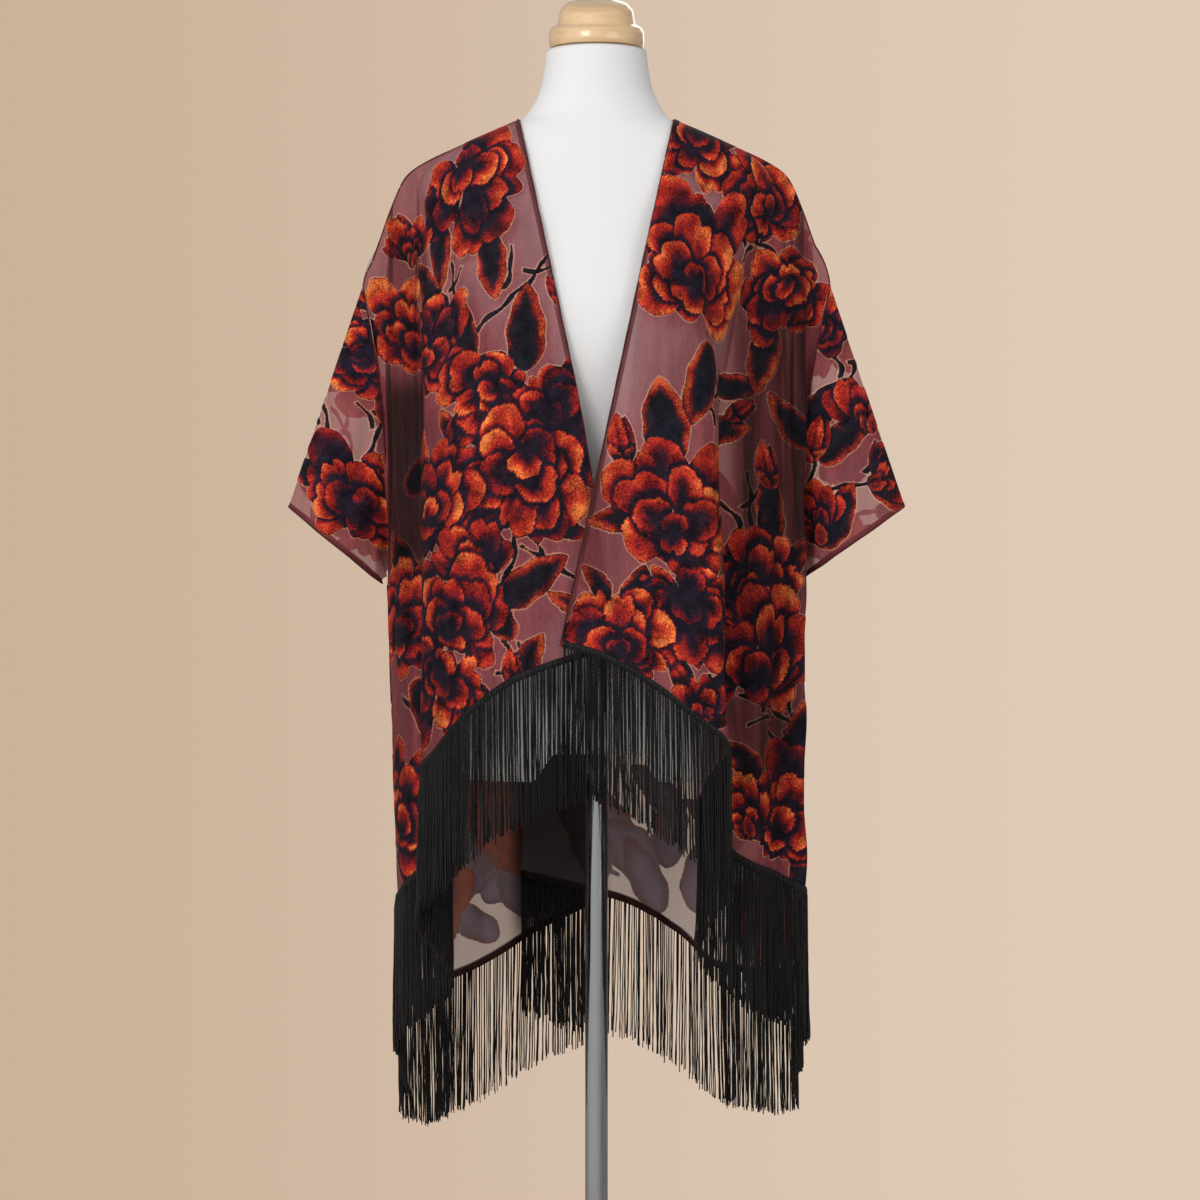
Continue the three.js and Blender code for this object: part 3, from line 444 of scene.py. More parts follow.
def crease(cloth, rows, ripple):
    """Presses the creases of a table into the cloth, and gives it an uneven, softly rippled fall."""
    t = cloth.shares[:, None]
    relief = np.zeros(cloth.pile.shape)
    for upper, lower, start, end, width, depth in rows:
        along = (cloth.shares - start) / (end - start)
        centre = lerp(upper, lower, np.clip(along, 0, 1))
        middle = [np.interp(c, cloth.places, run) for c, run in zip(centre, cloth.across)]
        taper = np.sin(np.pi * np.clip(along, 0, 1)) ** 0.7
        away = (cloth.across - np.array(middle)[:, None]) / width
        relief += depth * taper[:, None] * np.exp(-away * away)
    z = cloth.points[..., 2]
    for wave, height in ((71, 1.3), (41, 0.8), (23, 0.35)):
        lean, phase = rng.uniform(-0.25, 0.25), rng.uniform(0, 6)
        sway = 1.2 * np.sin(z / (wave * 2.7) + phase)
        relief += ripple * height * np.sin((cloth.across + lean * z) * 2 * np.pi / wave + sway)
    places = cloth.places[None, :]
    from_side = np.minimum(places, cloth.places[-1] - places)
    calm = np.minimum(1, t * 14) * np.minimum(1, from_side * 2.5)
    cloth.push(relief * calm)


# Where the cloth lies folded over itself, with painted shade in its folds and recesses: x and z at the upper
# end, x and z at the lower end, half width, and how many layers more than one. The wall of the model is
# single there.
FOLDED_AND_SHADED = {
    "front_over": [
        (190, 1250, 189, 600, 40, 2.5), (223, 1335, 223, 870, 5, 2.4), (214, 1325, 215, 900, 1.8, 2.0),
        (205, 1320, 207, 940, 1.8, 1.6), (166, 1110, 166, 890, 6, 1.6), (121, 1041, 149, 690, 6, 2.2),
        (196, 860, 200, 540, 4, 1.4), (176, 900, 180, 580, 3, 1.2), (4, 1010, -6, 868, 13, 1.1),
    ],
    "front_under": [
        (-207, 1120, -206, 884, 20, 4.6), (-227, 1335, -227, 880, 3, 2.6), (-208, 1290, -208, 1108, 17, 1.3),
        (-188, 1300, -186, 660, 3, 1.8), (-172, 1100, -176, 640, 15, 1.0), (-213, 884, -213, 510, 13, 1.1),
        (-196, 1330, -197, 1000, 2, 1.6), (-150, 880, -156, 600, 3, 1.4),
    ],
    "back": [(-44, 800, -44, 470, 46, 5.0), (-186, 1200, -196, 440, 34, 1.5), (190, 1200, 196, 440, 34, 1.5)],
    "right": [(-232, 1200, -236, 880, 7, 1.8)],
    "left": [(228, 1200, 232, 880, 7, 1.8)],
}


def fold_over_and_shade(cloth, rows):
    """Paints the layer count of the cloth at each place, which the material also turns into painted shade."""
    x, z = cloth.points[..., 0], cloth.points[..., 2]
    for top_x, top_z, low_x, low_z, width, extra in rows:
        run = (top_z - z) / (top_z - low_z)
        taper = np.clip(run * 7, 0, 1) * np.clip((1 - run) * 7, 0, 1)
        away = (x - lerp(top_x, low_x, np.clip(run, 0, 1)) - 1.2 * np.sin(z / 37 + top_x)) / width
        # Painted shade: these extra layers also darken the cloth's colour in the material
        cloth.layers += extra * taper * np.exp(-away**6)


def turned(right, up, degrees):
    angle = math.radians(degrees)
    return (right * math.cos(angle) + up * math.sin(angle),
            up * math.cos(angle) - right * math.sin(angle))


def wavy(x, y, size):
    """Bends flat coordinates a little, so that no petal or leaf looks like another."""
    phase = rng.uniform(0, 6, 4)
    for wave, reach in ((0.60, 0.062), (0.26, 0.020)):
        x = x + size * reach * np.sin(y / (size * wave) + phase[0])
        y = y + size * reach * np.sin(x / (size * wave) + phase[1])
    return x, y


def shade_below(cloth, depth, reach, strength=0.75):
    """Darkens the pile just outside a petal that lies over it."""
    near = np.clip(1 + depth / reach, 0, 1) ** 1.5 * (depth < 0)
    cloth.tone = np.clip(cloth.tone + strength * near, 0, 1)


def petal(cloth, along, across, length, spread, heat):
    """A broad petal from its base at (0, 0): lobed and lightest at its end, nearly black at its base."""
    along, across = wavy(along, across, length)
    r = np.hypot(along, across)
    angle = np.arctan2(across, along)
    share = np.abs(angle) / spread
    lobes, phase = rng.uniform(1.5, 2.6), rng.uniform(0, 3)
    notch = (1 - np.abs(np.sin(lobes * angle / spread + phase))) ** 2.2
    end = length * (1 - 0.34 * np.minimum(share, 1.6) ** 2.6) * (1 - rng.uniform(0.06, 0.20) * notch)
    end = end * (1 + 0.012 * np.sin(11 * angle / spread + phase))
    depth = np.minimum(end - r, r * (spread - np.abs(angle)) * 0.95)
    inward = np.clip(1 - r / np.maximum(end, 1), 0, 1)
    veins = sum(np.sin(k * angle + rng.uniform(0, 6)) for k in (9, 16, 27)) / 3
    turn = rng.uniform(-0.5, 0.5)
    patch = np.sin(along / 8 + rng.uniform(0, 6)) * np.sin(across / 7 + rng.uniform(0, 6))
    trough = np.exp(-((angle - spread * turn) / (0.3 * spread)) ** 2) * np.clip(inward * 2.2, 0, 1)
    tone = heat + 1.25 * inward**1.15 + 0.10 * veins * np.clip(inward * 4, 0.3, 1) + 0.15 * patch
    tone = tone + rng.uniform(0.1, 0.5) * trough + 0.10 * np.minimum(share, 1) ** 3
    shade_below(cloth, depth, rng.uniform(9, 15))
    cloth.paint(depth, tone, 0)


# A peony's petals, back to front: degrees from the way that it faces, length, half angle, base right, base up
PEONY_PETALS = [
    (178, 0.66, 0.55, 0.00, 0.02), (-130, 0.86, 0.56, 0.00, 0.00), (126, 0.82, 0.58, 0.00, 0.00),
    (-80, 1.00, 0.52, 0.02, 0.00), (78, 0.97, 0.54, -0.02, 0.00), (-30, 1.06, 0.48, 0.00, 0.00),
    (34, 1.02, 0.50, 0.00, 0.00),
    (-108, 0.68, 0.66, 0.00, -0.04), (100, 0.66, 0.66, 0.00, -0.04), (-52, 0.80, 0.58, 0.00, -0.12),
    (46, 0.78, 0.60, 0.00, -0.12), (0, 0.82, 0.50, 0.00, -0.16),
    (165, 0.46, 0.80, 0.02, -0.06), (-62, 0.52, 0.80, 0.02, -0.20), (50, 0.50, 0.80, -0.02, -0.20),
    (-6, 0.40, 0.90, 0.00, -0.30),
]


def peony(cloth, right, up, size, lean):
    """An opened flower of broad petals, which faces to one side."""
    x, y = turned(right, up, lean - 90)
    x, y = wavy(x, y, size)
    x = x * rng.uniform(1.0, 1.2)
    for angle, length, half, base_x, base_y in PEONY_PETALS:
        faced = 90 + angle + rng.uniform(-11, 11)
        a = x - size * (base_x + rng.uniform(-0.05, 0.05))
        b = y - size * (base_y + rng.uniform(-0.05, 0.05))
        heat = rng.choice((-0.04, 0.10, 0.18, 0.26, 0.40))
        petal(cloth, *turned(a, b, faced), size * length * rng.uniform(0.86, 1.12),
              half * rng.uniform(0.82, 1.15), heat)


def leaf(cloth, right, up, length, width, bend):
    """A broad pointed leaf that grows up from (0, 0): black, with a red border that is wider at its tip."""
    right, up = wavy(right, up, length)
    share = np.clip(up / length, 0, 1)
    half = 2.45 * width * share**0.55 * (1 - share) ** 0.78 * (1 + 0.05 * np.sin(share * 19 + bend * 30))
    away = right - bend * length * share * share
    depth = (half - np.abs(away)) * 0.85
    depth = np.minimum(depth, np.minimum(up, length - up) * 1.4 + 0.1)
    lit = 0.50 * share**2 + 0.26 * np.sign(bend) * np.clip(away / max(width, 1), -1, 1)
    smoke = 0.10 * np.sin(up / 5 + bend * 40) * np.sin(away / 4)
    shade_below(cloth, depth, 6, 0.5)
    cloth.paint(depth, depth / 11 + 0.04 + smoke - lit * np.clip(depth / 5, 0, 1), 1)


def single_leaf(cloth, right, up, size, lean):
    x, y = turned(right, up, lean)
    bend = rng.choice((-0.24, -0.14, 0.14, 0.24))
    leaf(cloth, x, y + size * 0.5, size, size * rng.uniform(0.22, 0.27), bend)


def leaf_pair(cloth, right, up, size, lean):
    """Two leaves from one stalk."""
    x, y = turned(right, up, lean)
    for angle, reach in ((44, 0.8), (-30, 1.0)):
        leaf(cloth, *turned(x, y + size * 0.45, -angle), size * reach, size * 0.24 * reach, 0.18)


def bud(cloth, right, up, size, lean):
    """A closed flower of two petals on a short stalk, held by black sepals."""
    x, y = turned(right, up, lean)
    stalk = np.minimum(2.2 - np.abs(x + 2 * np.sin(y / 9)), np.minimum(-y, y + size * 1.3))
    cloth.paint(stalk, 0.9 + 0 * stalk, 1)
    x, y = wavy(x, y, size)
    for shift, reach, heat in ((0.13, 0.92, 0.34), (-0.05, 1.0, 0.16)):
        share = np.clip((y + size * 0.1) / (size * (reach + 0.1)), 0, 1)
        half = size * 0.24 * np.maximum(np.sin(np.pi * share**0.72), 0) ** 0.7
        away = x - size * shift
        depth = np.minimum(half - np.abs(away), np.minimum(size * reach - y, y + size * 0.1))
        seam = np.exp(-((away - half * 0.3 * np.sin(share * 5)) / 2.2) ** 2)
        shade_below(cloth, depth, 5)
        cloth.paint(depth, heat + 0.28 * seam + 0.6 * (1 - share) ** 2 + 0.08 * np.sin(away * 1.1), 0)
    for angle in (-34, 34):
        leaf(cloth, *turned(x, y + size * 0.16, angle), size * 0.5, size * 0.12, 0.1)


def half_flower(cloth, right, up, size, lean):
    """An opening flower seen from the side: a fan of petals over a dark calyx."""
    x, y = turned(right, up, lean)
    for angle, reach in ((-42, 0.86), (40, 0.9), (-18, 1.0), (16, 1.02), (-3, 0.78), (-24, 0.5), (20, 0.5)):
        petal(cloth, *turned(x, y + size * 0.45, angle + 90), size * 1.4 * reach, 0.36,
              rng.choice((0.04, 0.16, 0.28)))
    for angle, bend in ((25, 0.1), (-25, -0.1)):
        leaf(cloth, *turned(x, y + size * 0.5, angle), size * 0.5, size * 0.14, bend)


def stem(cloth, right, up, size, lean):
    """A gnarled dark branch through (0, 0), with two short twigs."""
    x, y = turned(right, up, lean)
    x, y = wavy(x, y, 60)
    for start, turn, length in ((-0.5, 0, 1.0), (-0.05, 40, 0.34), (0.15, -38, 0.3)):
        a, b = turned(x, y - size * start, turn)
        reach = size * length
        share = np.clip(b / reach, 0, 1)
        curve = 0.10 * reach * np.sin(math.pi * share) + 1.3 * np.sin(b / 6)
        depth = lerp(3.0, 1.8, share) + 0.6 * np.sin(b / 4.1) - np.abs(a - curve)
        cloth.paint(np.minimum(depth, np.minimum(b, reach - b) + 1), 0.72 + 0 * depth, 1)


# Motifs by kind, each with x, z, size, lean in degrees to the left. Later ones lie on top of earlier ones.
UNDER_MOTIFS = [
    (stem, [(-92, 1205, 140, -38), (-160, 1190, 90, 15), (-104, 930, 120, -8), (-190, 740, 130, 4),
        (-50, 900, 80, 60), (-222, 1180, 80, 70), (-80, 760, 90, 20), (-206, 590, 90, 10)]),
    (single_leaf, [(-174, 1236, 74, 168), (-120, 1228, 74, 182), (-86, 1156, 92, 4), (-138, 1146, 88, 8),
        (-163, 1046, 54, 60), (-70, 884, 88, -72), (-74, 808, 54, -15), (-108, 840, 60, 30),
        (-196, 742, 74, 175), (-204, 566, 70, 30), (-212, 1262, 60, 40), (-138, 752, 60, 150),
        (-22, 862, 50, 40), (-214, 905, 74, 8), (-166, 690, 64, -20), (-196, 1010, 60, -30),
        (-26, 940, 50, -130), (-188, 1210, 70, 20)]),
    (bud, [(-40, 1186, 30, 20), (-96, 776, 34, -10)]),
    (peony, [(-188, 1134, 76, 60), (-118, 1084, 71, 205), (-44, 1058, 80, 330), (-78, 990, 91, 262),
        (-184, 972, 78, 95)]),
    (half_flower, [(-132, 900, 52, 12)]),
    (peony, [(-212, 842, 80, 80), (-150, 846, 78, 100), (-168, 770, 69, 250), (-212, 640, 82, 75),
        (-138, 1314, 82, 292), (-208, 1160, 67, 95)]),
    (half_flower, [(-206, 1250, 40, 10)]),
]
OVER_MOTIFS = [
    (stem, [(86, 1300, 90, 24), (128, 1060, 150, -6), (44, 985, 80, -20), (164, 950, 110, -4),
        (62, 836, 70, -10), (190, 745, 90, 60), (206, 700, 120, 0), (172, 1246, 80, 80),
        (120, 760, 80, -40)]),
    (single_leaf, [(74, 1262, 84, 30), (122, 1100, 100, 176), (150, 1096, 60, -115), (178, 1132, 80, 160),
        (140, 1042, 70, -100), (62, 1050, 94, 24), (26, 948, 78, 78), (194, 950, 84, 192),
        (46, 858, 78, -28), (210, 706, 90, 4), (136, 778, 66, 120), (206, 1064, 76, 25), (160, 690, 66, 40),
        (214, 560, 62, 20), (2, 884, 46, 30), (150, 905, 60, 150), (120, 1275, 56, 200),
        (208, 905, 60, -10)]),
    (bud, [(33, 1014, 46, 6), (182, 998, 44, -4), (98, 772, 36, 30), (150, 1064, 34, -60)]),
    (peony, [(106, 1362, 63, 250), (194, 1296, 71, 95), (204, 1204, 71, 265), (112, 1212, 99, 75),
        (90, 960, 84, 82), (186, 880, 65, 90), (100, 858, 78, 265), (184, 806, 89, 85), (20, 820, 67, 90)]),
    (half_flower, [(114, 744, 40, -20)]),
    (peony, [(202, 624, 80, 70)]),
    (half_flower, [(158, 632, 48, 20)]),
]
BACK_MOTIFS = [
    (stem, [(-150, 1000, 160, -10), (40, 1150, 160, 14), (130, 880, 150, -12), (-60, 800, 150, 10),
        (190, 640, 130, 0), (-190, 620, 130, -6), (60, 640, 110, -20), (180, 1160, 120, -8),
        (-110, 1280, 110, 25), (20, 560, 120, 40)]),
    (leaf_pair, [(-120, 1090, 96, 150), (20, 1250, 90, 170), (120, 980, 96, 160), (-30, 930, 94, -25),
        (190, 780, 90, 10), (-190, 770, 96, -10), (56, 716, 90, 150)]),
    (single_leaf, [(-80, 740, 90, 20)]),
    (leaf_pair, [(150, 640, 92, 20)]),
    (single_leaf, [(-150, 560, 86, 150), (90, 1320, 80, 50), (-200, 1150, 80, -8)]),
    (leaf_pair, [(-10, 640, 90, -20)]),
    (single_leaf, [(215, 930, 80, 5), (-60, 1180, 80, 10), (8, 624, 84, 50), (34, 588, 96, 36),
        (-50, 590, 84, -60), (62, 566, 96, 20), (88, 596, 96, -10), (-140, 500, 80, 40), (114, 560, 96, 16),
        (-110, 560, 90, -30), (60, 650, 84, 60), (-4, 576, 70, 20), (-134, 606, 90, 20), (-96, 530, 84, 30),
        (-120, 560, 80, -60), (140, 610, 84, 30), (-84, 610, 70, 40)]),
    (bud, [(90, 1070, 48, 10), (-180, 890, 48, -10), (20, 700, 46, 20), (170, 1050, 46, 0)]),
    (half_flower, [(-70, 1350, 44, 30)]),
    (peony, [(-60, 600, 62, 40)]),
    (half_flower, [(-118, 572, 54, -40)]),
    (peony, [(-110, 1200, 90, 60), (80, 1240, 84, 110), (10, 1060, 94, 80), (-110, 900, 88, 45),
        (180, 880, 84, 100), (60, 820, 88, 120), (-190, 1020, 74, 70), (195, 1240, 70, 60),
        (-110, 640, 80, 90), (160, 700, 76, 80), (-200, 500, 70, 60), (200, 500, 70, 110),
        (-60, 690, 66, 100)]),
]
SIDE_MOTIFS = [
    (stem, [(231, 1090, 130, 8), (-231, 1010, 130, -8), (231, 700, 130, -8), (-231, 640, 120, 8)]),
    (leaf_pair, [(231, 1010, 90, 160), (-231, 930, 90, 20)]),
    (single_leaf, [(231, 640, 84, 20), (-231, 560, 84, 160)]),
    (bud, [(231, 1230, 46, 0), (-231, 1210, 46, 0)]),
    (peony, [(231, 1130, 78, 70), (-231, 1060, 78, 110), (231, 880, 84, 95), (-231, 800, 82, 80),
        (231, 560, 74, 80), (-231, 680, 78, 100)]),
]
BACK_SHIFT = (18, -26)  # how far the motifs move on the back half of a sleeve
SLEEVE_MOTIFS = {
    "right": [
        (stem, [(-262, 1150, 110, 70), (-300, 1060, 90, 20), (-250, 1060, 80, -10)]),
        (single_leaf, [(-226, 1236, 74, 40), (-322, 1016, 56, 30), (-236, 1090, 60, 20)]),
        (half_flower, [(-238, 1200, 44, 20)]),
        (single_leaf, [(-226, 1150, 56, 60)]),
        (peony, [(-258, 1142, 60, 200), (-262, 978, 74, 85)]),
    ],
    "left": [
        (stem, [(296, 1010, 120, -62), (268, 1110, 90, -20)]),
        (single_leaf, [(242, 1086, 82, -22), (276, 1044, 78, -40), (324, 985, 64, -110),
            (262, 950, 76, -50)]),
        (half_flower, [(296, 1072, 48, 10)]),
        (bud, [(240, 1026, 46, -10)]),
        (peony, [(232, 1170, 62, 85)]),
        (half_flower, [(236, 950, 50, 20), (316, 1000, 40, -60)]),
        (single_leaf, [(296, 900, 60, -70)]),
    ],
}


def each_motif(motifs):
    return [(kind, *row) for kind, rows in motifs for row in rows]


def pattern(cloth, motifs, seen_from):
    """Paints motifs on the side of a panel that is seen from the front (-1) or from the back (1)."""
    for kind, x, z, size, lean in each_motif(motifs):
        right, up = cloth.lay_out(*cloth.find(x, z, seen_from))
        kind(cloth, right, up, size, lean)


def sleeve_pattern(cloth, motifs):
    """The front and the back half of a sleeve, each patterned as a flat piece."""
    x, z = cloth.points[..., 0], cloth.points[..., 2]
    is_front = (cloth.places < 1)[None, :] & np.ones(x.shape, bool)
    for behind, half in ((False, is_front), (True, ~is_front)):
        shift_x, shift_z = BACK_SHIFT if behind else (0, 0)
        kept = cloth.pile.copy(), cloth.tone.copy(), cloth.leaf.copy()
        cloth.pile = np.full(x.shape, NO_PILE)
        for kind, at_x, at_z, size, lean in each_motif(motifs):
            kind(cloth, x - at_x - shift_x, z - at_z - shift_z, size, lean)
        for name, old in zip(("pile", "tone", "leaf"), kept):
            setattr(cloth, name, np.where(half, getattr(cloth, name), old))


def new_object(name, data):
    obj = bpy.data.objects.new(name, data)
    bpy.context.scene.collection.objects.link(obj)
    return obj


def new_mesh(name, points, faces, material):
    mesh = bpy.data.meshes.new(name)
    mesh.from_pydata((points.reshape(-1, 3) * MM).tolist(), [], faces)
    mesh.polygons.foreach_set("use_smooth", [True] * len(mesh.polygons))
    mesh.materials.append(material)
    return new_object(name, mesh)


def grid_faces(rows, columns, wraps=False):
    """Quads of a grid whose rows go down and columns go across."""
    i, j = np.meshgrid(np.arange(rows - 1), np.arange(columns if wraps else columns - 1), indexing="ij")
    k = (j + 1) % columns
    quads = np.stack([i * columns + j, i * columns + k, (i + 1) * columns + k, (i + 1) * columns + j], -1)
    return quads.reshape(-1, 4)


def add_values(obj, name, values):
    layer = obj.data.attributes.new(name, "FLOAT", "POINT")
    layer.data.foreach_set("value", np.asarray(values, np.float32).ravel())


def cloth_object(name, cloth, material, wraps=False):
    raised = CLOTH_LIFT + PILE_HEIGHT * np.clip(cloth.pile / 1.5, 0, 1) + 0.5 * (cloth.hem < HEM_WIDTH)
    points = cloth.points + cloth.normals * raised[..., None]
    if wraps:
        points = points[:, :-1]
    rows, columns = points.shape[:2]
    faces = grid_faces(rows, columns, wraps)
    if cloth.turn < 0:
        faces = faces[:, ::-1]
    obj = new_mesh(name, points, faces.tolist(), material)
    for key in ("pile", "tone", "leaf", "hem", "layers"):
        values = getattr(cloth, key)
        add_values(obj, key, values[:, :-1] if wraps else values)
    return obj


def tubes(name, lines, radii, sides, material, values):
    """Round strands along many lines at once: lines has the shape strands, points, 3."""
    strands, count = lines.shape[:2]
    run = unit(np.gradient(lines, axis=1))
    up = np.where(np.abs(run[..., 2:]) > 0.9, [1.0, 0, 0], [0, 0, 1.0])
    side = unit(np.cross(run, up))
    other = np.cross(run, side)
    angle = np.arange(sides) / sides * 2 * np.pi
    round_ = side[:, :, None] * np.cos(angle)[:, None] + other[:, :, None] * np.sin(angle)[:, None]
    points = lines[:, :, None] + round_ * radii[:, :, None, None]
    ring = grid_faces(count, sides, True)
    starts = np.arange(strands)[:, None, None] * count * sides
    faces = (ring[None] + starts).reshape(-1, 4).tolist()
    for first in range(0, strands * count * sides, count * sides):
        last = first + (count - 1) * sides
        faces += [list(range(first, first + sides))[::-1], list(range(last, last + sides))]
    obj = new_mesh(name, points, faces, material)
    for key, per_point in values.items():
        add_values(obj, key, np.repeat(per_point.reshape(-1), sides))
    return obj


def lathe(name, profile, material, sides=96, slant=0.0):
    """A turned piece, its top slanted toward the front. Its corners are rounded by cutting them twice."""
    line = np.array(profile, float)
    for _ in range(2):
        cut = [line[0]]
        for a, b in zip(line[:-1], line[1:]):
            cut += [lerp(a, b, 0.12), lerp(a, b, 0.88)]
        line = np.array(cut + [line[-1]])
    angle = np.arange(sides) / sides * 2 * np.pi
    x = line[:, :1] * np.cos(angle)
    y = line[:, :1] * np.sin(angle)
    z = line[:, 1:] + 0 * x
    z = z + y * slant * (z - z[0]) / (z[-1] - z[0])
    faces = grid_faces(len(line), sides, True)[:, ::-1].tolist()
    return new_mesh(name, np.stack([x, y, z], -1), faces, material)


# Shader helpers
def add(tree, kind, **settings):
    node = tree.nodes.new(kind)
    for key, value in settings.items():
        setattr(node, key, value)
    return node


def feed(tree, socket, value):
    """Links a socket, or sets it to a plain value."""
    if isinstance(value, bpy.types.NodeSocket):
        tree.links.new(value, socket)
    else:
        socket.default_value = value


def calc(tree, operation, a, b=0.0):
    node = add(tree, "ShaderNodeMath", operation=operation)
    feed(tree, node.inputs[0], a)
    feed(tree, node.inputs[1], b)
    return node.outputs[0]


def plus(tree, a, b):
    return calc(tree, "ADD", a, b)


def times(tree, a, b):
    return calc(tree, "MULTIPLY", a, b)


def scaled(tree, vector, factor):
    """A colour or a vector times a number."""
    node = add(tree, "ShaderNodeVectorMath", operation="SCALE")
    feed(tree, node.inputs[0], vector)
    feed(tree, node.inputs["Scale"], factor)
    return node.outputs[0]


def own_space(tree):
    return add(tree, "ShaderNodeTexCoord").outputs["Object"]


def noise(tree, place, scale, detail):
    node = add(tree, "ShaderNodeTexNoise")
    for label, value in (("Vector", place), ("Scale", scale), ("Detail", detail)):
        feed(tree, node.inputs[label], value)
    return node.outputs[0]


def blend(tree, share, a, b):
    node = add(tree, "ShaderNodeMix", data_type="RGBA")
    feed(tree, node.inputs["Factor"], share)
    feed(tree, node.inputs[6], a)
    feed(tree, node.inputs[7], b)
    return node.outputs[2]


def spread(tree, value, low, high, start=0.0, end=1.0):
    node = add(tree, "ShaderNodeMapRange", interpolation_type="SMOOTHSTEP")
    feed(tree, node.inputs[0], value)
    for k, limit in enumerate((low, high, start, end)):
        node.inputs[k + 1].default_value = limit
    return node.outputs[0]


def ramp(tree, value, stops):
    node = add(tree, "ShaderNodeValToRGB")
    elements = node.color_ramp.elements
    while len(elements) < len(stops):
        elements.new(0.5)
    for element, (place, color) in zip(elements, stops):
        element.position = place
        element.color = (*color, 1)
    feed(tree, node.inputs[0], value)
    return node.outputs[0]


def painted(tree, name):
    return add(tree, "ShaderNodeAttribute", attribute_name=name).outputs["Fac"]


def new_group(name, inputs, outputs):
    """A shader node group with named sockets: (name, socket type, default)."""
    tree = bpy.data.node_groups.new(name, "ShaderNodeTree")
    for label, kind, value in inputs:
        socket = tree.interface.new_socket(name=label, in_out="INPUT", socket_type=kind)
        socket.default_value = value
    for label, kind in outputs:
        tree.interface.new_socket(name=label, in_out="OUTPUT", socket_type=kind)
    return tree, tree.nodes.new("NodeGroupInput"), tree.nodes.new("NodeGroupOutput")


def mottle_group():
    """Uneven colour and a fine grain, from noise in the object's own space."""
    tree, start, end = new_group(
        "Mottle",
        [("Color", "NodeSocketColor", (0.5, 0.5, 0.5, 1)), ("Patch Size", "NodeSocketFloat", 12.0),
         ("Grain Size", "NodeSocketFloat", 600.0), ("Amount", "NodeSocketFloat", 0.2),
         ("Stretch", "NodeSocketVector", (1, 1, 1))],
        [("Color", "NodeSocketColor"), ("Height", "NodeSocketFloat")],
    )
    stretched = add(tree, "ShaderNodeVectorMath", operation="MULTIPLY")
    feed(tree, stretched.inputs[0], own_space(tree))
    feed(tree, stretched.inputs[1], start.outputs["Stretch"])
    patches, grain = [noise(tree, stretched.outputs[0], start.outputs[size], 2)
                      for size in ("Patch Size", "Grain Size")]
    uneven = calc(tree, "SUBTRACT", plus(tree, patches, grain), 1.0)
    factor = plus(tree, times(tree, uneven, start.outputs["Amount"]), 1.0)
    feed(tree, end.inputs["Color"], scaled(tree, start.outputs["Color"], factor))
    feed(tree, end.inputs["Height"], grain)
    return tree


def weave_group():
    """Threads over and under each other, as a height."""
    tree, start, end = new_group(
        "Weave",
        [("Thread", "NodeSocketFloat", 1.0)],
        [("Height", "NodeSocketFloat")],
    )
    split = add(tree, "ShaderNodeSeparateXYZ")
    feed(tree, split.inputs[0], own_space(tree))
    rate = calc(tree, "DIVIDE", 2 * math.pi / MM, start.outputs["Thread"])
    across, upright = [calc(tree, "SINE", times(tree, level, rate))
                       for level in (plus(tree, split.outputs[0], split.outputs[1]), split.outputs[2])]
    feed(tree, end.inputs["Height"], times(tree, across, upright))
    return tree


MOTTLE = mottle_group()
WEAVE = weave_group()


def use_group(tree, group, **values):
    node = add(tree, "ShaderNodeGroup")
    node.node_tree = group
    for key, value in values.items():
        feed(tree, node.inputs[key.replace("_", " ")], value)
    return node.outputs


def new_material(name, **values):
    """A material with its Principled shader, whose constant values are set on its own sockets."""
    material = bpy.data.materials.new(name)
    material.use_nodes = True
    shader = material.node_tree.nodes["Principled BSDF"]
    for key, value in values.items():
        shader.inputs[key.replace("_", " ")].default_value = value
    return material, material.node_tree, shader


def dress(tree, shader, color, roughness=None):
    feed(tree, shader.inputs["Base Color"], color)
    if roughness is not None:
        feed(tree, shader.inputs["Roughness"], roughness)


def add_bump(tree, shader, height, distance, strength):
    bump = add(tree, "ShaderNodeBump")
    bump.inputs["Strength"].default_value = strength
    bump.inputs["Distance"].default_value = distance
    feed(tree, bump.inputs["Height"], height)
    feed(tree, shader.inputs["Normal"], bump.outputs[0])


# Finishes
SHEER_OUT = (0.26, 0.056, 0.068)
# The wrong side's sheer ground is paler and greyer than the right side: painted light, for light shining
# through the sheer from behind
SHEER_IN_BACKLIT = (0.34, 0.275, 0.31)
SHEER_COVER = 0.70
SLEEVE_SHEER = 0.66     # the sleeves' ground counts as this many layers, as it hangs stretched, which also lightens its colour as painted light
GROUND_PAINTED_SHADE = 0.58      # painted shade: each further layer of a fold darkens the ground's colour by this
PILE_PAINTED_SHADE = 0.80       # and the pile's colour by this, also painted shade
WRONG_PAINTED_SHADE = 0.62      # and the wrong side's colour by this, also painted shade
RIM_LINE = (0.74, 0.33, 0.20)
HEM_OUT = (0.06, 0.009, 0.012)
HEM_IN = (0.030, 0.008, 0.008)
FUZZ = (420, 3)         # noise scale and detail
FRAYED = 2.6            # how far the fuzz moves the flowers' outlines, in millimetres for a noise of 1
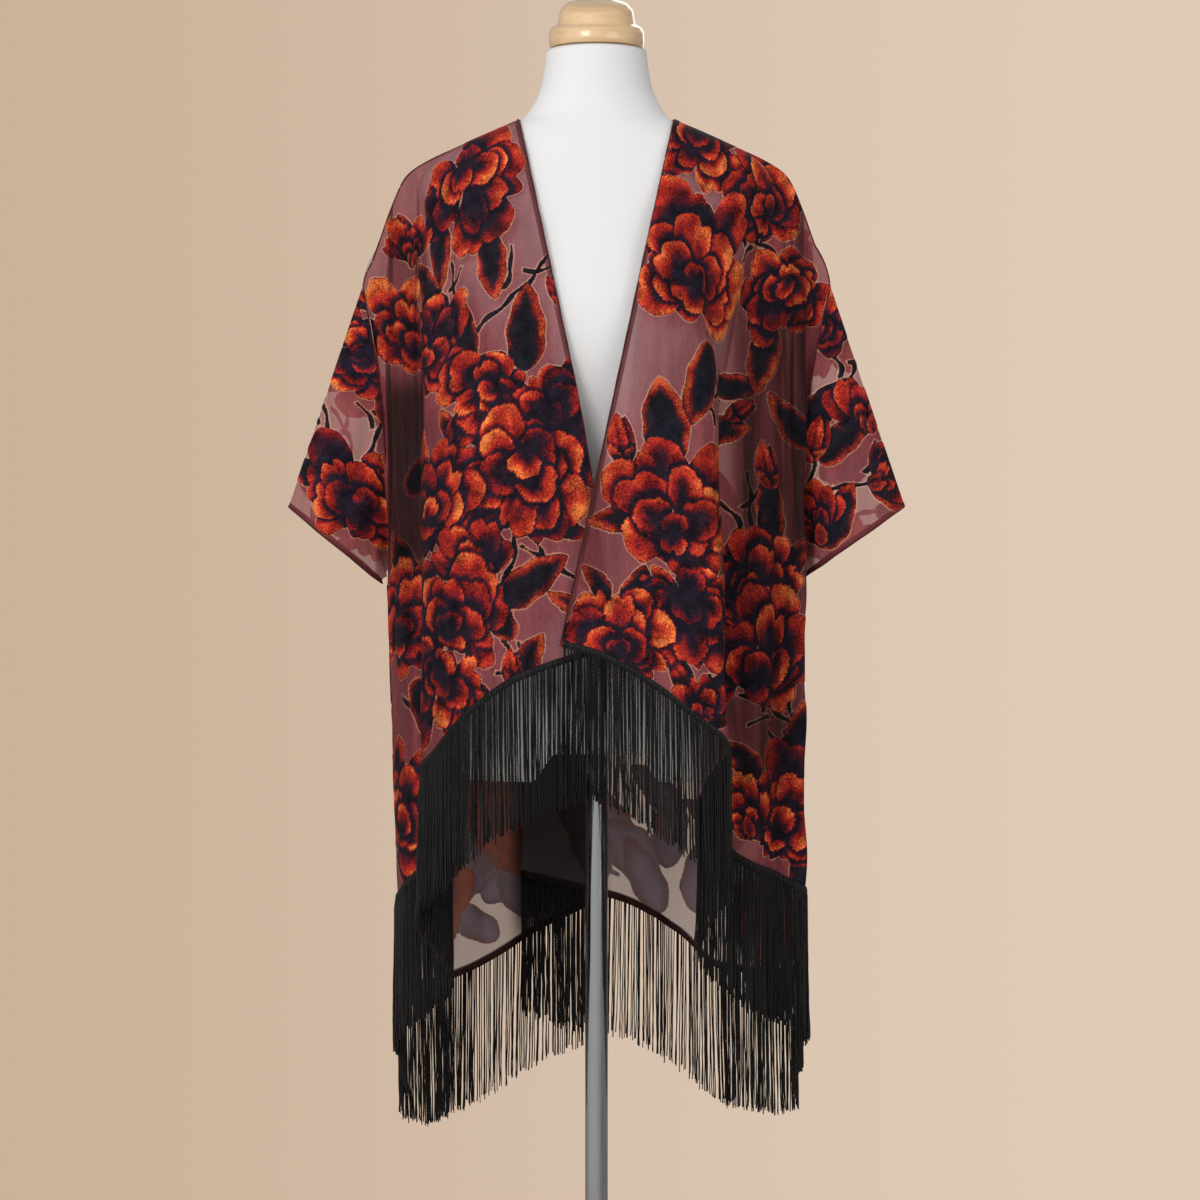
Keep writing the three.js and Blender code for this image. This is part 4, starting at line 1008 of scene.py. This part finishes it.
# Where the pile and the light line round it begin and end, in millimetres inside a flower's outline
PILE_EDGE = (-0.3, 0.4)
RIM_OUTSIDE = (-1.8, -0.6)
RIM_INSIDE = (0.9, 0.0)
DRIFT = (17, 1)         # slow noise that darkens some flowers and lightens others
DRIFT_MEAN = 0.48
WORN = 0.75             # how much the fuzz and the drift change the pile's tone
PETAL_STOPS = [
    (0.0, (0.62, 0.16, 0.040)), (0.12, (0.50, 0.072, 0.022)), (0.27, (0.38, 0.028, 0.014)),
    (0.43, (0.26, 0.014, 0.011)), (0.58, (0.13, 0.008, 0.011)), (0.72, (0.050, 0.007, 0.013)),
    (0.86, (0.018, 0.008, 0.016)), (1.0, (0.010, 0.007, 0.015)),
]
LEAF_STOPS = [
    (0.0, (0.42, 0.07, 0.02)), (0.16, (0.28, 0.022, 0.013)), (0.36, (0.11, 0.010, 0.012)),
    (0.56, (0.018, 0.009, 0.014)), (1.0, (0.008, 0.008, 0.014)),
]
WRONG_STOPS = [
    (0.0, (0.40, 0.14, 0.095)), (0.38, (0.31, 0.11, 0.085)), (0.6, (0.22, 0.15, 0.16)),
    (1.0, (0.27, 0.215, 0.26)),
]


def velvet_material():
    """Velvet pile in flowers on a sheer ground, and its duller wrong side."""
    material, tree, shader = new_material(
        "burnout_velvet", Sheen_Weight=0.06, Sheen_Roughness=0.35, Sheen_Tint=(0.85, 0.55, 0.5, 1),
        Specular_IOR_Level=0.12,
    )
    pile, tone, layers = painted(tree, "pile"), painted(tree, "tone"), painted(tree, "layers")
    # Painted shade: each layer beyond one darkens the colours below, in the folds and recesses
    painted_shade_steps = calc(tree, "SUBTRACT", layers, 1.0)
    rough = calc(tree, "SUBTRACT", noise(tree, own_space(tree), *FUZZ), 0.5)
    edge = plus(tree, pile, times(tree, rough, FRAYED))
    mask = spread(tree, edge, *PILE_EDGE)
    line = times(tree, spread(tree, edge, *RIM_OUTSIDE), spread(tree, edge, *RIM_INSIDE))
    faded = calc(tree, "SUBTRACT", noise(tree, own_space(tree), *DRIFT), DRIFT_MEAN)
    worn = plus(tree, plus(tree, tone, times(tree, faded, WORN)), times(tree, rough, WORN))
    colors = ramp(tree, worn, PETAL_STOPS), ramp(tree, worn, LEAF_STOPS)
    nap = use_group(tree, MOTTLE, Color=blend(tree, painted(tree, "leaf"), *colors),
                    Patch_Size=70.0, Grain_Size=560.0, Amount=2.4)
    ground = use_group(tree, MOTTLE, Color=(*SHEER_OUT, 1), Patch_Size=90.0, Grain_Size=900.0, Amount=0.9,
                       Stretch=(1, 1, 0.12))
    lined = blend(tree, times(tree, line, 0.7), ground["Color"], (*RIM_LINE, 1))
    hem = spread(tree, painted(tree, "hem"), HEM_WIDTH, HEM_WIDTH - 1.2)
    hemmed = blend(tree, times(tree, hem, 0.75), lined, (*HEM_OUT, 1))
    # Painted shade of the folds on the ground and on the pile
    sheer_painted_shade = scaled(tree, hemmed, calc(tree, "POWER", GROUND_PAINTED_SHADE, painted_shade_steps))
    pile_painted_shade = scaled(tree, nap["Color"], calc(tree, "POWER", PILE_PAINTED_SHADE, painted_shade_steps))
    right_side = blend(tree, mask, sheer_painted_shade, pile_painted_shade)
    # The wrong side's ground, made paler by painted light shining through the sheer from behind
    wrong_ground_backlit = use_group(tree, MOTTLE, Color=(*SHEER_IN_BACKLIT, 1), Patch_Size=12.0, Grain_Size=1400.0,
                             Amount=0.35)
    dye = plus(tree, times(tree, worn, 0.45), times(tree, painted(tree, "leaf"), 0.5))
    wrong = blend(tree, mask, wrong_ground_backlit["Color"], ramp(tree, dye, WRONG_STOPS))
    wrong = blend(tree, hem, wrong, (*HEM_IN, 1))
    # Painted shade of the folds on the wrong side
    wrong_side = scaled(tree, wrong, calc(tree, "POWER", WRONG_PAINTED_SHADE, painted_shade_steps))
    facing = add(tree, "ShaderNodeNewGeometry").outputs["Backfacing"]
    dress(tree, shader, blend(tree, facing, right_side, wrong_side), spread(tree, mask, 0, 1, 0.6, 0.9))
    sheer = calc(tree, "SUBTRACT", 1.0, calc(tree, "POWER", 1 - SHEER_COVER, layers))
    closed = calc(tree, "MAXIMUM", mask, times(tree, hem, 0.96))
    feed(tree, shader.inputs["Alpha"], calc(tree, "MAXIMUM", closed, sheer))
    height = plus(tree, times(tree, mask, 0.5), times(tree, nap["Height"], 0.8))
    add_bump(tree, shader, plus(tree, height, times(tree, ground["Height"], 0.5)), 0.0007, 0.8)
    return material


def yarn_material(name, color, twist):
    """Chainette yarn: dark, with a twist along each strand."""
    material, tree, shader = new_material(
        name, Sheen_Weight=0.02, Sheen_Roughness=0.4, Specular_IOR_Level=0.22)
    # A random tone for each strand, and on the braided header the painted shade of its plait's grooves, scale
    # the colour
    tone_and_shade = plus(tree, times(tree, painted(tree, "tone_and_shade"), 1.1), 0.45)
    mixed = use_group(tree, MOTTLE, Color=(*color, 1), Patch_Size=60.0, Grain_Size=800.0, Amount=0.8)
    dress(tree, shader, scaled(tree, mixed["Color"], tone_and_shade),
          spread(tree, mixed["Height"], 0.2, 0.8, 0.45, 0.65))
    wave = calc(tree, "SINE", times(tree, painted(tree, "run"), 2 * math.pi / twist))
    add_bump(tree, shader, wave, 0.0005, 0.7)
    return material


def form_material():
    """Stretched off-white jersey."""
    material, tree, shader = new_material("form_cover", Sheen_Weight=0.1, Specular_IOR_Level=0.25)
    cover = use_group(tree, MOTTLE, Color=(0.785, 0.795, 0.805, 1), Patch_Size=5.0, Grain_Size=900.0,
                      Amount=0.05)
    dress(tree, shader, cover["Color"], spread(tree, cover["Height"], 0, 1, 0.8, 0.95))
    weave = use_group(tree, WEAVE, Thread=1.4)["Height"]
    add_bump(tree, shader, weave, 0.00025, 0.5)
    return material


def maple_material():
    """Light maple under a clear gloss coat."""
    material, tree, shader = new_material("maple", Coat_Weight=0.6, Coat_Roughness=0.06)
    place = add(tree, "ShaderNodeMapping")
    place.inputs["Scale"].default_value = (14, 60, 160)
    feed(tree, place.inputs[0], own_space(tree))
    grain = noise(tree, place.outputs[0], 1, 5)
    wood = ramp(tree, grain, [(0.25, (0.62, 0.40, 0.20)), (0.5, (0.70, 0.48, 0.27)),
                              (0.75, (0.76, 0.55, 0.33))])
    pores = use_group(tree, MOTTLE, Color=wood, Patch_Size=20.0, Grain_Size=700.0, Amount=0.08)
    dress(tree, shader, pores["Color"], spread(tree, grain, 0, 1, 0.25, 0.38))
    add_bump(tree, shader, grain, 0.0001, 0.4)
    return material


def steel_material(name, color, low, high, stretch):
    """Steel with fine rubbed marks, which run round a pole or over a plate."""
    material, tree, shader = new_material(name, Metallic=1.0)
    marks = use_group(tree, MOTTLE, Color=(*color, 1), Patch_Size=15.0, Grain_Size=500.0, Amount=0.12,
                      Stretch=stretch)
    dress(tree, shader, marks["Color"], spread(tree, marks["Height"], 0.25, 0.75, low, high))
    add_bump(tree, shader, marks["Height"], 0.00003, 0.4)
    return material


def floor_material():
    material, tree, shader = new_material("pale_floor", Roughness=0.8)
    tint = use_group(tree, MOTTLE, Color=(0.66, 0.55, 0.45, 1), Patch_Size=1.5, Grain_Size=60.0, Amount=0.06)
    dress(tree, shader, tint["Color"])
    return material


def shell(name, inner, outer, material, values):
    """A closed strip between an inner and an outer grid of the same shape."""
    rows, columns = inner.shape[:2]
    count = rows * columns
    grid = grid_faces(rows, columns)
    border = [(0, j) for j in range(columns)] + [(i, columns - 1) for i in range(1, rows)]
    border += [(rows - 1, j) for j in range(columns - 2, -1, -1)]
    border += [(i, 0) for i in range(rows - 2, 0, -1)]
    ring = [i * columns + j for i, j in border]
    sides = [[a, b, b + count, a + count] for a, b in zip(ring, ring[1:] + ring[:1])]
    faces = (grid + count).tolist() + grid[:, ::-1].tolist() + [side[::-1] for side in sides]
    obj = new_mesh(name, np.stack([inner, outer]), faces, material)
    for key, grid_values in values.items():
        add_values(obj, key, np.stack([grid_values, grid_values]))
    return obj


def hem_strip(cloth):
    """The cloth's lower edge, stepped evenly: points and normals, from a header's height down to the hem."""
    row_gap = np.linalg.norm(np.diff(cloth.points[-LOW_HEM_ROWS:], axis=0), axis=-1).mean()
    at = len(cloth.points) - 1 - np.linspace(HEADER_HEIGHT / row_gap, 0, 7)
    low = np.floor(at).astype(int)
    high = np.minimum(low + 1, len(cloth.points) - 1)
    share = (at - low)[:, None, None]
    points = lerp(cloth.points[low], cloth.points[high], share)
    normals = lerp(cloth.normals[low], cloth.normals[high], share)
    run = run_length(points[-1])
    stops = np.linspace(FRINGE_INSET, run[-1] - FRINGE_INSET, int(run[-1] / FRINGE_STEP))
    points, normals = [np.stack([resample(row, run, stops) for row in grid]) for grid in (points, normals)]
    return points, unit(normals), stops


def build_fringe(part, cloth, pitch, radius, header_material, strand_material):
    """The braided header, and the strands that hang from it in the rows of FRINGE_ROWS."""
    points, normals, run = hem_strip(cloth)
    if cloth.turn < 0:
        points, normals = points[:, ::-1], normals[:, ::-1]
    v = np.linspace(0, 1, len(points))[:, None]
    plait = np.abs(np.sin(np.pi * (run / PLAIT_PITCH + 1.1 * np.abs(v - 0.5))))
    relief = HEADER_THICKNESS * (0.45 + 0.55 * plait * np.sin(np.pi * np.clip(v, 0.06, 0.94)) ** 0.4)
    base = WALL + HEADER_GAP - HEADER_SINK
    # Painted shade: the header's colour is darker in the grooves of its plait and lighter on the raised
    # strands
    header = shell(f"{part}_header", points + normals * base, points + normals * (base + relief)[..., None],
                   header_material, {"tone_and_shade": 0.3 + 0.6 * plait, "run": run + 0 * v})
    lines, values, radii = [], [], []
    fall = np.linspace(0, 1, STRAND_POINTS)
    for out, pitch_shift, wider, from_x in FRINGE_ROWS:
        roots = int(run[-1] / (pitch * wider))
        for k in range(roots):
            at = (k + 0.5 + pitch_shift * 0.999) / (roots + 0.5) * (len(run) - 1)
            at = min(max(at + rng.uniform(-0.9, 0.9), 0), len(run) - 1)
            j = int(at)
            root = points[-1, j] + normals[-1, j] * (WALL + HEADER_GAP + out)
            if abs(root[0]) < from_x:
                continue
            length = STRAND_LENGTH + 2 + rng.uniform(-10, 5) * rng.uniform(0.3, 1)
            line = np.repeat(root[None], STRAND_POINTS, axis=0)
            line[:, 2] += 3 - fall * length
            sway = np.sin(at * 0.021) * 2.0 + np.sin(at * 0.07 + 1) * 1.2
            phase = rng.uniform(0, 6, 2)
            size = rng.uniform(0.2, 1.2, 2)
            line[:, 0] += fall * (sway + rng.normal(0, 1.0)) + fall * size[0] * np.sin(5 * fall + phase[0])
            line[:, 0] += 0.3 * np.sin(fall * rng.uniform(20, 34) + phase[1]) * fall
            line[:, 1] += fall * rng.normal(0, 1.2) + fall * size[1] * np.sin(4 * fall + phase[1])
            lines.append(line)
            values.append((rng.uniform(0, 1), length))
            radii.append(radius * rng.uniform(0.85, 1.1) * (1 + 0.12 * np.sin(9 * fall + phase[0])))
    strand_tones, lengths = np.array(values).T[:, :, None]
    strands = tubes(f"{part}_strands", np.array(lines), np.array(radii), 4, strand_material,
                    {"tone_and_shade": strand_tones + 0 * fall, "run": fall * lengths})
    return header, strands


def arch_at(x):
    share = np.clip((np.abs(x) - ARCH_FLAT) / (ARCH_HALF_WIDTH - ARCH_FLAT), 0, 1)
    return ARCH_HEIGHT * 0.5 * (1 + np.cos(np.pi * share))


def build_form(material):
    """The form's skin, closed under the cap and over the arch of its underside."""
    sides = 128
    heights = np.concatenate((np.linspace(FORM_UNDERSIDE, 1290, 70), np.linspace(1294, NECK_TOP, 60)))
    angle = np.arange(sides) / sides * 2 * np.pi
    half, front, back, power = [value[:, None] for value in form_ring(heights)]
    c, s = np.cos(angle), np.sin(angle)
    x = np.sign(c) * half * np.abs(c) ** (2 / power)
    y = np.sign(s) * np.where(s < 0, front, back) * np.abs(s) ** (2 / power)
    rise = np.clip(1 - (heights - FORM_UNDERSIDE) / ARCH_FADE, 0, 1)[:, None]
    z = heights[:, None] + arch_at(x) * rise
    faces = grid_faces(len(heights), sides, True)[:, ::-1].tolist()
    for first, down in ((0, True), ((len(heights) - 1) * sides, False)):
        for i in range(sides // 2):
            quad = [first + i, first + i + 1, first + sides - i - 1, first + (sides - i) % sides]
            quad = list(dict.fromkeys(quad))
            faces.append(quad[::-1] if down else quad)
    return new_mesh("dress_form", np.stack([x, y, z], -1), faces, material)


def edge_tube(name, points, radius, material):
    """A narrow rolled hem along the edge of a cloth."""
    run = run_length(points)
    stops = np.linspace(0, run[-1], max(int(run[-1] / 3), 8))
    uneven = radius * (1 + 0.12 * np.sin(stops / 7))
    return tubes(name, resample(points, run, stops)[None], uneven[None], 8, material,
                 {"tone_and_shade": 0.5 + 0 * stops, "run": stops})


# The garment
panel_kinds = {
    "front_under": {"lines": FRONT_UNDER, "side": -1, "sign": -1, "turn": 1},
    "front_over": {"lines": FRONT_OVER, "side": -1, "sign": 1, "turn": -1},
    "back": {"lines": BACK, "side": 1, "sign": 1, "turn": 1},
}
panels = {name: build_panel(kind) for name, kind in panel_kinds.items()}
front_under, front_over, back = panels.values()
crease(front_under, UNDER_CREASES, 1.0)
crease(front_over, OVER_CREASES, 1.0)
crease(back, BACK_CREASES, 1.4)
sleeves = {
    "right": build_sleeve(SLEEVES["right"], FRONT_UNDER[-1][2:5]),
    "left": build_sleeve(SLEEVES["left"], FRONT_OVER[-1][2:5]),
}
for sleeve in sleeves.values():
    crease(sleeve, SLEEVE_CREASES, 0.8)
    sleeve.hem = run_length(sleeve.points[::-1])[::-1]
for cloth in (front_under, front_over):
    cloth.hem = cloth.across * FRONT_HEM_SHARE
for cloth in panels.values():
    low_hem = run_length(cloth.points[::-1][:LOW_HEM_ROWS])[::-1] * HEM_WIDTH / LOW_HEM_WIDTH
    cloth.hem[-LOW_HEM_ROWS:] = np.minimum(cloth.hem[-LOW_HEM_ROWS:], low_hem)
neck = np.abs(through_values([row[1] for row in BACK], back.places)) < NECK_ARC
back.hem[:NECK_HEM_ROWS][:, neck] = run_length(back.points[:NECK_HEM_ROWS])[:, neck]
pattern(front_under, UNDER_MOTIFS, -1)
pattern(front_over, OVER_MOTIFS, -1)
pattern(back, BACK_MOTIFS, 1)
for name, sleeve in sleeves.items():
    sleeve_pattern(sleeve, SLEEVE_MOTIFS[name])
pattern(back, SIDE_MOTIFS, 1)
# Layers of cloth, which also paint shade into the folds; the sleeves count less than one layer, which
# lightens their colour as painted light
for name, cloth in [*panels.items(), *sleeves.items()]:
    if name in sleeves:
        cloth.layers *= SLEEVE_SHEER
    fold_over_and_shade(cloth, FOLDED_AND_SHADED[name])

velvet = velvet_material()
rolled = yarn_material("rolled_hem", (0.075, 0.012, 0.014), 2.0)
braid = yarn_material("braided_header", (0.006, 0.0055, 0.0065), 3.0)
yarn = yarn_material("chainette_yarn", (0.0075, 0.007, 0.008), 3.2)

for name, cloth in panels.items():
    obj = cloth_object(f"velvet_{name}", cloth, velvet)
    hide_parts(f"kimono_{name}")
    header, strands = build_fringe(f"fringe_{name}", cloth, *FRINGE_YARN[name], braid, yarn)
    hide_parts(f"fringe_{name}")
    with_it = [header, strands]
    if name != "back":
        edge = cloth.points[:, 0] + cloth.normals[:, 0] * ROLL_LIFT
        with_it.append(edge_tube(f"hem_{name}", edge, ROLL_RADIUS, rolled))
        seam = np.concatenate((cloth.points[0], cloth.points[1:, -1]))
        with_it.append(edge_tube(f"seam_{name}", seam, SEAM_RADIUS, rolled))
    else:
        neckline = cloth.points[0, neck] + cloth.normals[0, neck] * ROLL_LIFT
        with_it.append(edge_tube("hem_neckline", neckline, ROLL_RADIUS, rolled))
    for piece in [obj, *with_it]:
        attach(piece, "root")
for name, cloth in sleeves.items():
    obj = cloth_object(f"velvet_sleeve_{name}", cloth, velvet, wraps=True)
    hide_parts(f"kimono_sleeve_{name}")
    cuff = cloth.points[-1] + cloth.normals[-1] * ROLL_LIFT
    roll = edge_tube(f"hem_cuff_{name}", cuff, ROLL_RADIUS, rolled)
    for piece in (obj, roll):
        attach(piece, "root")

# The form and its stand
form = build_form(form_material())
foot = NECK_TOP + CAP_GAP
cap = lathe("maple_cap", [
    (0.01, foot), (46, foot), (51, foot + 3), (52.5, foot + 10), (52.5, foot + 20), (50, foot + 26),
    (43, foot + 30), (42, foot + 34), (40, foot + 46), (33, foot + 53), (18, foot + 56.5), (0.01, foot + 57),
], maple_material(), slant=0.34)
top = FORM_UNDERSIDE + ARCH_HEIGHT - CAP_GAP
pole = lathe("steel_pole", [
    (0.01, BASE_THICKNESS + 0.3), (POLE_RADIUS, BASE_THICKNESS + 0.3), (POLE_RADIUS, BASE_THICKNESS + 2),
    (POLE_RADIUS, top - 2), (POLE_RADIUS, top), (0.01, top),
], steel_material("pole_steel", (0.335, 0.345, 0.365), 0.10, 0.20, (1, 1, 0.05)))
base = lathe("steel_base", [
    (0.01, 0), (BASE_RADIUS - 2, 0), (BASE_RADIUS, 2), (BASE_RADIUS, BASE_THICKNESS - 3),
    (BASE_RADIUS - 3, BASE_THICKNESS), (0.01, BASE_THICKNESS),
], steel_material("base_steel", (0.50, 0.51, 0.53), 0.30, 0.42, (1, 1, 1)), sides=160)
for piece, node, slot in ((form, "form_body", "form_cover"), (cap, "form_neck_cap", "maple"),
                          (pole, "stand_pole", "pole_steel"), (base, "stand_base", "base_steel")):
    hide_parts(node)
    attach(piece, "root")

# The pale floor, and a soft warm backdrop all round, whose light is strongest from the front left. The
# backdrop that the camera sees is a painted gradient of light, darker toward -X and lighter toward +X.
BACKDROP_LIGHT_STOPS = [(0.0, (0.597, 0.445, 0.328)), (0.5, (0.68, 0.53, 0.41)), (1.0, (0.737, 0.597, 0.468))]
BRIGHT_SIDE = (-0.56, -0.80, 0.22)
floor = lathe("floor", [(0.01, -0.5), (1050, -0.5), (1050, -2), (0.01, -2)], floor_material(), sides=128)

world = bpy.data.worlds.new("studio")
bpy.context.scene.world = world
world.use_nodes = True
sky = world.node_tree
sky.nodes.clear()
split = add(sky, "ShaderNodeSeparateXYZ")
feed(sky, split.inputs[0], add(sky, "ShaderNodeTexCoord").outputs["Generated"])
# Painted light: the backdrop that the camera sees darkens toward -X and brightens toward +X
wall = ramp(sky, spread(sky, split.outputs[0], -0.19, 0.19), BACKDROP_LIGHT_STOPS)
shown = add(sky, "ShaderNodeBackground")
feed(sky, shown.inputs["Color"], wall)
light = add(sky, "ShaderNodeBackground")
light.inputs["Color"].default_value = (1.0, 0.97, 0.94, 1)
toward = add(sky, "ShaderNodeVectorMath", operation="DOT_PRODUCT")
feed(sky, toward.inputs[0], add(sky, "ShaderNodeTexCoord").outputs["Generated"])
toward.inputs[1].default_value = BRIGHT_SIDE
feed(sky, light.inputs["Strength"], spread(sky, toward.outputs["Value"], -0.2, 1.0, 0.34, 0.84))
choose = add(sky, "ShaderNodeMixShader")
feed(sky, choose.inputs[0], add(sky, "ShaderNodeLightPath").outputs["Is Camera Ray"])
feed(sky, choose.inputs[1], light.outputs[0])
feed(sky, choose.inputs[2], shown.outputs[0])
feed(sky, add(sky, "ShaderNodeOutputWorld").inputs["Surface"], choose.outputs[0])


WARM_WHITE = (1.0, 0.98, 0.96)
SENSOR = 36
CAMERA_AWAY = 3.5
VIEW_WIDTH = 1.32       # metres that the photo shows across, at the middle of the form


def soft_light(name, place, aim_height, size, power):
    data = bpy.data.lights.new(name, "AREA")
    data.shape = "DISK"
    data.size = size
    data.energy = power
    data.color = WARM_WHITE
    obj = new_object(name, data)
    obj.location = place
    away = np.subtract(place, (0, 0, aim_height))
    yaw = math.atan2(away[1], away[0]) + math.pi / 2
    obj.rotation_euler = (math.atan2(math.hypot(away[0], away[1]), away[2]), 0, yaw)


soft_light("key", (-1.6, -3.2, 2.6), 0.95, 1.6, 58)
soft_light("fill", (2.4, -2.8, 1.4), 0.9, 2.2, 24)
soft_light("rim", (0.8, 2.6, 2.4), 1.0, 1.6, 12)

camera_data = bpy.data.cameras.new("camera")
camera_data.lens = SENSOR * CAMERA_AWAY / VIEW_WIDTH
camera_data.sensor_width = SENSOR
camera = new_object("camera", camera_data)
camera.location = (0.00385, -CAMERA_AWAY, 0.865)
camera.rotation_euler = (math.pi / 2, 0, 0)
bpy.context.scene.camera = camera
bpy.context.scene.view_settings.view_transform = "Standard"
bpy.context.scene.cycles.transparent_max_bounces = 24
